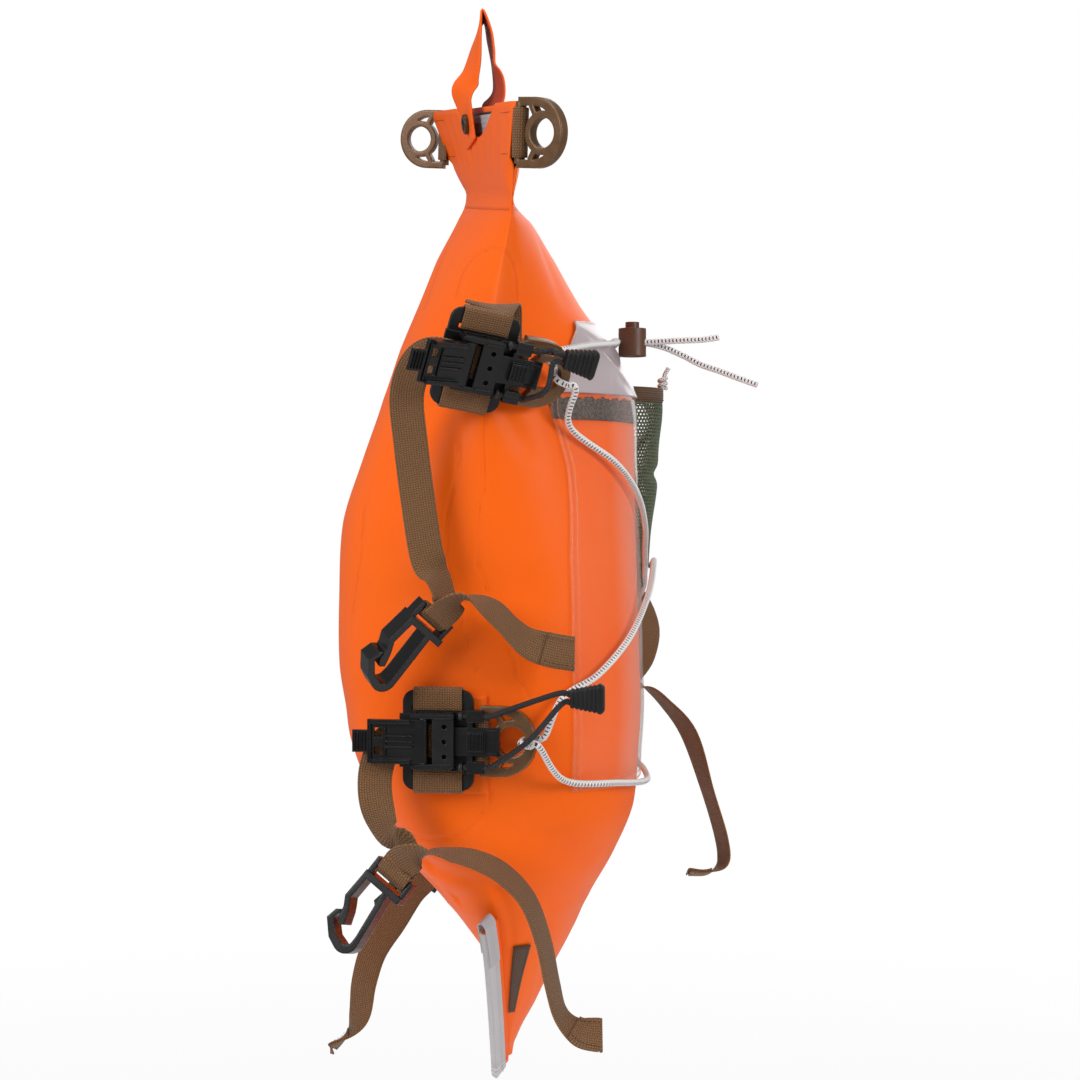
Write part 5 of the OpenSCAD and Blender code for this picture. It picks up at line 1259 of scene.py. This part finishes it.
RIP_END = [(1.2, 0.0), (2.6, 0.2), (2.75, 0.9), (2.7, 1.8), (2.1, 2.5), (0.5, 2.7)]
for which, side, tag in BUCKLES:
    route = at_buckle(which, side, np.array(rip_route(PULL_AT[which]), float))
    made, line = cord_tube("rip_braid_" + tag, route, RIP_D, 8, rip_braid)
    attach(made, "release_" + tag)
    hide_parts("rip_cord_" + tag)
    for z in (-1, 1):
        start, back = [at_buckle(which, side, np.array([EAR_X - x, RIP_Y, z * EAR_Z])) for x in (2.6, 5.2)]
        p, f = lathe(RIP_END, start, back - start, 16)
        knob = piece("rip_end_%s_%s" % (tag, "up" if z > 0 else "low"), p, f, [(0, 0)] * sum(len(g) for g in f),
                     [rip_braid])
        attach(knob, "release_" + tag)
    p, f = pull_shape()
    p = at_buckle(which, side, p + PULL_AT[which])
    pull = piece("rip_grip_" + tag, p, [g[::-1] for g in f] if side > 0 else f, None, [pull_rubber],
                 smooth=False)
    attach(pull, "release_" + tag)
    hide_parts("rip_pull_" + tag)
    length = float(run_of(line)[-1]) / 1000


# ---- Lacing rings and the webbing that holds them ----
# A bronze-brown D ring sits at each buckle's far end, in a loop of 30 mm webbing under the frame.
LACE_BAR_X, LACE_BAR_Y, LACE_SWING = 26.0, -2.8, (6, -4)
for which, side, tag in BUCKLES:
    webbing_loop("ring_webbing_" + tag, bar_loop(BAR_WRAP, 10.5),
                 lambda p: at_buckle(which, side, p + [LACE_BAR_X, LACE_BAR_Y, 0]),
                 ["ring_keepers"] if (which, side) == (UPPER, -1) else ())


# ---- Deck straps, hooks and free tails ----
# 20 mm coyote webbing runs from each cam buckle to a moulded deck hook, round the hook's bar and back
# as a loose tail that ends in a folded, stitched hem. The hooks swing on their bars.
HOOK_AT = [np.array([-25.0, -18, -385]), np.array([90.0, -20, -452]), np.array([-47.0, -16, -535]),
           np.array([-44.0, -14, -578])]
HOOK_ROLL, HOOK_YAW, STRAP_W, HOOK_BAR_D = (44, 40, 38, 38), (35, 20, -18, -18), 20.0, 6.4
WRAP_RI = HOOK_BAR_D / 2 + 0.06
WRAP_RO = WRAP_RI + WEB_T
HOOKS = [tag for _, _, tag in BUCKLES]
hook_black = moulded("hook_acetal_black", "#121214", rough=0.27, painted_edge_glint="#4E4E54", edge_mm=1.3, level=0.45)
dress(hook_black, *["hook_" + h for h in HOOKS])


def hook_pos(i):
    """Middle of a hook's bar, for the near side"""
    return HOOK_AT[i] - np.array([0, BODY_W / 2, 0])


def hook_turn(i, p):
    """From a hook's own directions to the part's"""
    return around(HOOK_ROLL[i], "y", around(HOOK_YAW[i], "z", p))


def mirrored(i, p):
    """Every second hook is on the far side"""
    return np.asarray(p, float) * np.array([1, -1 if i % 2 else 1, 1])


def strap_start(which):
    """The strap's first stations, on the cam buckle's floor"""
    y, middle = -PLATE_T - 2.5 - WEB_T / 2, at_buckle(which, -1, np.zeros(3))
    up = at_buckle(which, -1, np.array([0, 0, 1.0])) - middle
    return [[*at_buckle(which, -1, np.array([x, y - d, 0.0])), *up] for x, d in ((0, 0), (-14, 0), (-27, 0.2))]


def hook_end(i):
    """The strap's last stations, above the hook's bar"""
    lean = math.radians(HOOK_ROLL[i])
    up, along = np.array([math.sin(lean), 0, math.cos(lean)]), -hook_turn(i, np.array([1.0, 0, 0]))
    return [[*(hook_pos(i) + (WRAP_RO + d) * up), *along] for d in (6, 1)]


# Each strap's stations between its buckle and its hook
STRAPS = [
    [[-34, -24, -241, -0.6, -0.2, 0.7], [-40, -16, -258, -0.95, 0, 0.2], [-38, -11, -285, -1, 0, 0],
     [-33.5, -12, -320, -1, 0, -0.05], [-28, -15, -352, -1, -0.1, 0], [-21.5, -16.5, -364, -0.75, -0.5, 0.4]],
    [[-34, -24, -242, -0.7, -0.2, 0.6], [-36, -19, -259, -1, 0, -0.2], [-20, -16, -286, -0.7, 0, -0.8],
     [15, -18, -312, -0.6, 0, -0.8], [60, -18, -345, -0.6, 0.3, -0.8], [100, -17, -376, -0.7, 0.5, -0.4],
     [115, -17, -402, -0.8, 0.6, 0], [112, -18, -424, -0.8, 0.5, 0.4], [101, -19, -438, -0.8, 0.1, 0.6]],
    [[-55, -4.7, -464, -0.7, 0, 0.7], [-59, -5.2, -478, -1, 0, 0.05], [-58, -9, -494, -1, 0.1, -0.25],
     [-52, -11, -510, -0.8, 0.6, -0.2], [-43.5, -15, -516, -0.75, 0.4, 0.45]],
    [[-55, -4.7, -464, -0.7, 0, 0.7], [-59, -5.2, -480, -1, 0, 0.05], [-58, -9, -506, -1, 0.1, -0.2],
     [-50, -11, -534, -0.9, 0.4, -0.2], [-40.5, -13.5, -559, -0.75, 0.4, 0.45]]]
for i, name in enumerate(HOOKS):
    rows = strap_start(UPPER if i < 2 else LOWER) + beside(STRAPS[i]) + hook_end(i)
    path, across = [mirrored(i, line) for line in stations(rows, 6)]
    webbing_piece("strap_" + name, path, across, STRAP_W, 1.35, ["straps"] if i == 0 else ())
    # the turn of webbing round the hook's bar
    ring = [(0, (WRAP_RO - 0.75) * math.sin(a), (WRAP_RO - 0.75) * math.cos(a))
            for a in np.linspace(0.05, 2 * math.pi - 0.05, 26)]
    path = mirrored(i, hook_turn(i, ring) + hook_pos(i))
    webbing_piece("strap_turn_" + name, path, np.tile(mirrored(i, hook_turn(i, [1.0, 0, 0])), (len(ring), 1)),
                  STRAP_W, 1.4)

TAIL_OFF = WRAP_RO + 0.3 + WEB_T / 2


def tail_start(i, side):
    """The tail's first stations, beside the hook's bar on that side"""
    rows = [[0, side * TAIL_OFF, side * 0.5], [0, side * (TAIL_OFF + 0.4), side * -3.5],
            [0, side * (TAIL_OFF + 1.6 + 0.8 * side), side * -8]]
    return [[*hook_turn(i, q), *hook_turn(i, [1.0, 0, 0])] for q in rows]


TAILS = [
    [[15, -8, 9, 0.4, 0.8, -0.3], [23, -6, 9, 0.2, 0.9, 0.1], [36, -2, 2, 0.1, 0.7, 0.7],
     [47, 1, -9, -0.1, 0.5, 0.8], [56, 2, -16, -0.2, 0.4, 0.9], [68, 2, -20, 0, 0.2, 1],
     [80, 2, -22, 0, 0.1, 1]],
    [[15, -9, 6, 0.5, 0.7, -0.5], [26, -9, 2, 0.3, 0.9, 0], [38, -4, -8, 0.2, 0.9, 0.3],
     [55, 2, -30, 0.5, 0.8, 0.2], [68, 3, -70, 0.4, 0.9, 0], [78, 3, -104, 0.4, 0.9, 0],
     [79, 3, -122, 0.3, 0.9, 0], [68, 3, -130, -0.1, 0.9, 0.2], [55, 3, -130, 0, 0.9, 0.3]],
    [[12, -12, 13, 0.6, 0.4, -0.6], [21, -11, 14, 0.2, 0.9, -0.1], [31, -7, 13, 0, 0.9, 0.2],
     [46, -5, 10, 0.1, 0.9, 0.4], [62, -4, 2, 0.3, 0.9, 0.4], [77, -3, -14, 0.4, 0.9, 0.2],
     [86, -2, -38, 0.4, 0.9, 0.1], [91, -2, -62, 0.4, 0.9, 0], [96, -2, -80, 0.3, 0.9, 0.2],
     [106, -2, -90, 0.1, 0.7, 0.6], [118, -2, -92, 0, 0.5, 0.8]],
    [[-12, 9.5, -17, 0.76, -0.2, -0.6], [-24, 10, -36, 0.8, -0.1, -0.6], [-38, 11, -57, 0.85, 0.2, -0.45],
     [-45, 12, -80, 0.9, 0.4, -0.1], [-48, 13, -102, 0.8, 0.6, 0], [-55, 14, -116, 0.4, 0.8, 0.3],
     [-67, 15, -126, 0.1, 0.8, 0.5]]]
for i, name in enumerate(HOOKS):
    path, across = stations(tail_start(i, -1 if i < 3 else 1) + TAILS[i], 7)
    path, across = mirrored(i, path + hook_pos(i)), mirrored(i, across)
    tail = webbing_piece("tail_webbing_" + name, path, across, STRAP_W, 1.35, ["tail_" + name])
    # folded hem: the last 17 mm doubled back on one face, with a row of stitches along each edge
    run, ahead, wide = run_of(path), heading(path), unit(across)
    keep = run[-1] - run <= 17.0
    face = unit(np.cross(ahead, wide))
    hem_line = (path + face * 1.45)[keep]
    bend = [path[-1] + ahead[-1] * a + face[-1] * b for a, b in ((1.1, 1.1), (1.4, 0.55), (1.0, 0))]
    hem_across = np.vstack([across[keep], np.tile(across[-1], (3, 1))])
    hem = webbing_piece("tail_hem_" + name, np.vstack([hem_line, bend]), hem_across, STRAP_W + 0.2, 1.35)
    for k, q in enumerate((-7.2, 7.2)):
        row = hem_line + wide[keep] * q + face[keep] * 0.75
        repeat_along("hem_stitches_%s_%d" % (name, k), row, brown_thread, 2.4, (1.8, 0.45, 0.35))
    length = float(run[-1]) / 1000


# ---- Shock cord and cord lock ----
# White elastic cord with black flecks laces the four rings across the window. Both ends come
# through a brown sprung cord lock and stick out free.
CORD_D, LOCK_AT = 4.0, np.array([97.0, 0, -213])
CORD_SIDE = CORD_D / 2 + 0.2


def flecked_elastic(name):
    """Sheathed rubber cord: white polyester braid with three rows of short black flecks along it"""
    made, tree, shader = finish_named(name)
    girth, pitch = math.pi * CORD_D, 2.35
    height, share = strands(tree, 2 * math.pi * 6 / girth, pitch)
    around_it, along = flat_place(tree)
    dash = calc(tree, "LESS_THAN", calc(tree, "FRACT", calc(tree, "DIVIDE", along, pitch)), 0.34)
    strip = calc(tree, "LESS_THAN", calc(tree, "PINGPONG", around_it, girth / 6), girth * 0.09)
    # the braid's white turns greyer in the grooves between the strands: painted shade; the black flecks are the cord's
    # own print
    braid = mixed(tree, share, "#D9D4D2", "#F6F4F3")
    fill(tree, shader, Base_Color=mixed(tree, calc(tree, "MULTIPLY", dash, strip), braid, "#2B2A2C"),
         Normal=relief(tree, height, 0.5, 0.0004), Roughness=0.6, Sheen_Weight=0.1)
    return made


elastic = flecked_elastic("shock_cord_flecked")


def lace_point(which, q):
    """From a lacing ring's own frame, swung on its bar, to the part's"""
    return at_buckle(which, -1, around(LACE_SWING[which], "z", q) + [LACE_BAR_X, LACE_BAR_Y, 0])


TURN = [[36, -8, 0.3], [30.5, -6.3, 0.4], [25.2, -5.3, 0.2], [24.2, 0, 0], [25.2, 5.3, -0.2], [30.5, 6.3, -0.4],
        [36, 8, -0.6]]


def turn_at(which, lift, first):
    """The cord's turn through a lacing ring"""
    return [lace_point(which, [q[0], first * q[1], q[2] * lift]) for q in TURN]


def flips(rows):
    """The same points on the far side"""
    return [np.asarray(q) * [1, -1, 1] for q in rows]


def laid(rows):
    """Points over the top panel: share, angle and height off it"""
    return [skin(1, f, g, out) for f, g, out in rows]


LACE_HEAD = [[0.175, -20, 7.5], [0.182, -42, 7], [0.196, -60, 7]]
LACE_CROSS = [[0.276, -58, 7.5], [0.312, -42, 6], [0.335, -32, 6], [0.358, -22, 5.6], [0.385, -11, 5.6],
              [0.41, 0, 5.6], [0.436, 11, 7], [0.46, 22, 8.5], [0.503, 42, 6], [0.54, 60, 7], [0.562, 73, 8]]
LACE_CROSS_2 = [[0.562, -73, 8], [0.54, -60, 7], [0.503, -42, 6], [0.458, -21, 7.5], [0.425, -4, 10.5],
                [0.425, 12, 13], [0.43, 27, 20], [0.415, 42, 19], [0.375, 54, 10], [0.32, 64, 8]]
LACE_FOOT = [[0.648, 72, 7.5], [0.656, 50, 6.5], [0.664, 25, 6.5], [0.667, 0, 6.5], [0.664, -25, 6.5],
             [0.656, -50, 6.5], [0.648, -72, 7]]
head = [LOCK_AT + [2, -CORD_SIDE, 0], LOCK_AT + [-10.5, -CORD_SIDE, 0], LOCK_AT + [-12.5, -6, 0],
        LOCK_AT + [-11, -16, -0.5]]
lace = [*head, *laid(LACE_HEAD), *turn_at(UPPER, 6, -1), *laid(LACE_CROSS), *flips(turn_at(LOWER, 5, 1)),
        *laid(LACE_FOOT), *turn_at(LOWER, -5, 1), *laid(LACE_CROSS_2), *flips(turn_at(UPPER, 6, -1))[::-1],
        *[skin(1, f, -g, out) for f, g, out in LACE_HEAD[::-1]], *flips(head)[::-1]]
level = [LOCK_AT + [2.4, -CORD_SIDE, 0], LOCK_AT + [10, -CORD_SIDE, 0], [118, -3, -212.5], [130, -4, -212],
         [142, -4, -211.5], [153, -4, -210]]
low = [LOCK_AT + [2.4, CORD_SIDE, 0], LOCK_AT + [10, CORD_SIDE, -0.4], [118, 3, -216], [130, 4, -221],
       [142, 5, -227], [154, 6, -231], [166, 6, -235.5], [179, 7, -240]]
for name, node, route, far_end, lay in [("shock_cord_lacing", "shock_cord", lace, "object", "taut"),
                                        ("shock_end_level", "shock_tail_level", level, "bare", "loose"),
                                        ("shock_end_low", "shock_tail_low", low, "bare", "loose")]:
    made, line = cord_tube(name, route, CORD_D, 8, elastic, 14)
    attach(made, "bag")
    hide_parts(node)
    length = float(run_of(line)[-1]) / 1000
lock_brown = moulded("cord_lock_brown", "#5F3B25", rough=0.4, painted_edge_glint="#8E6444", edge_mm=0.8)
dress(lock_brown, "cord_lock", "lock_plunger")
# the lock's spring, a fixed coil between the ends of its box; in the lock it shortens as the plunger is pressed
low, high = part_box("lock_spring")
foot, top = low[2] * 1000 + 0.35, high[2] * 1000 - 0.35
angles = math.pi / 6 * np.arange(43)
coil = np.stack([LOCK_AT[0] + 4.4 * np.cos(angles), 4.4 * np.sin(angles), np.linspace(foot, top, 43)], axis=-1)
spring, line = cord_tube("lock_spring_wire", coil, 0.6, 2, steel, 8)
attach(spring, "bag")
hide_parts("lock_spring")
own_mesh(spring)
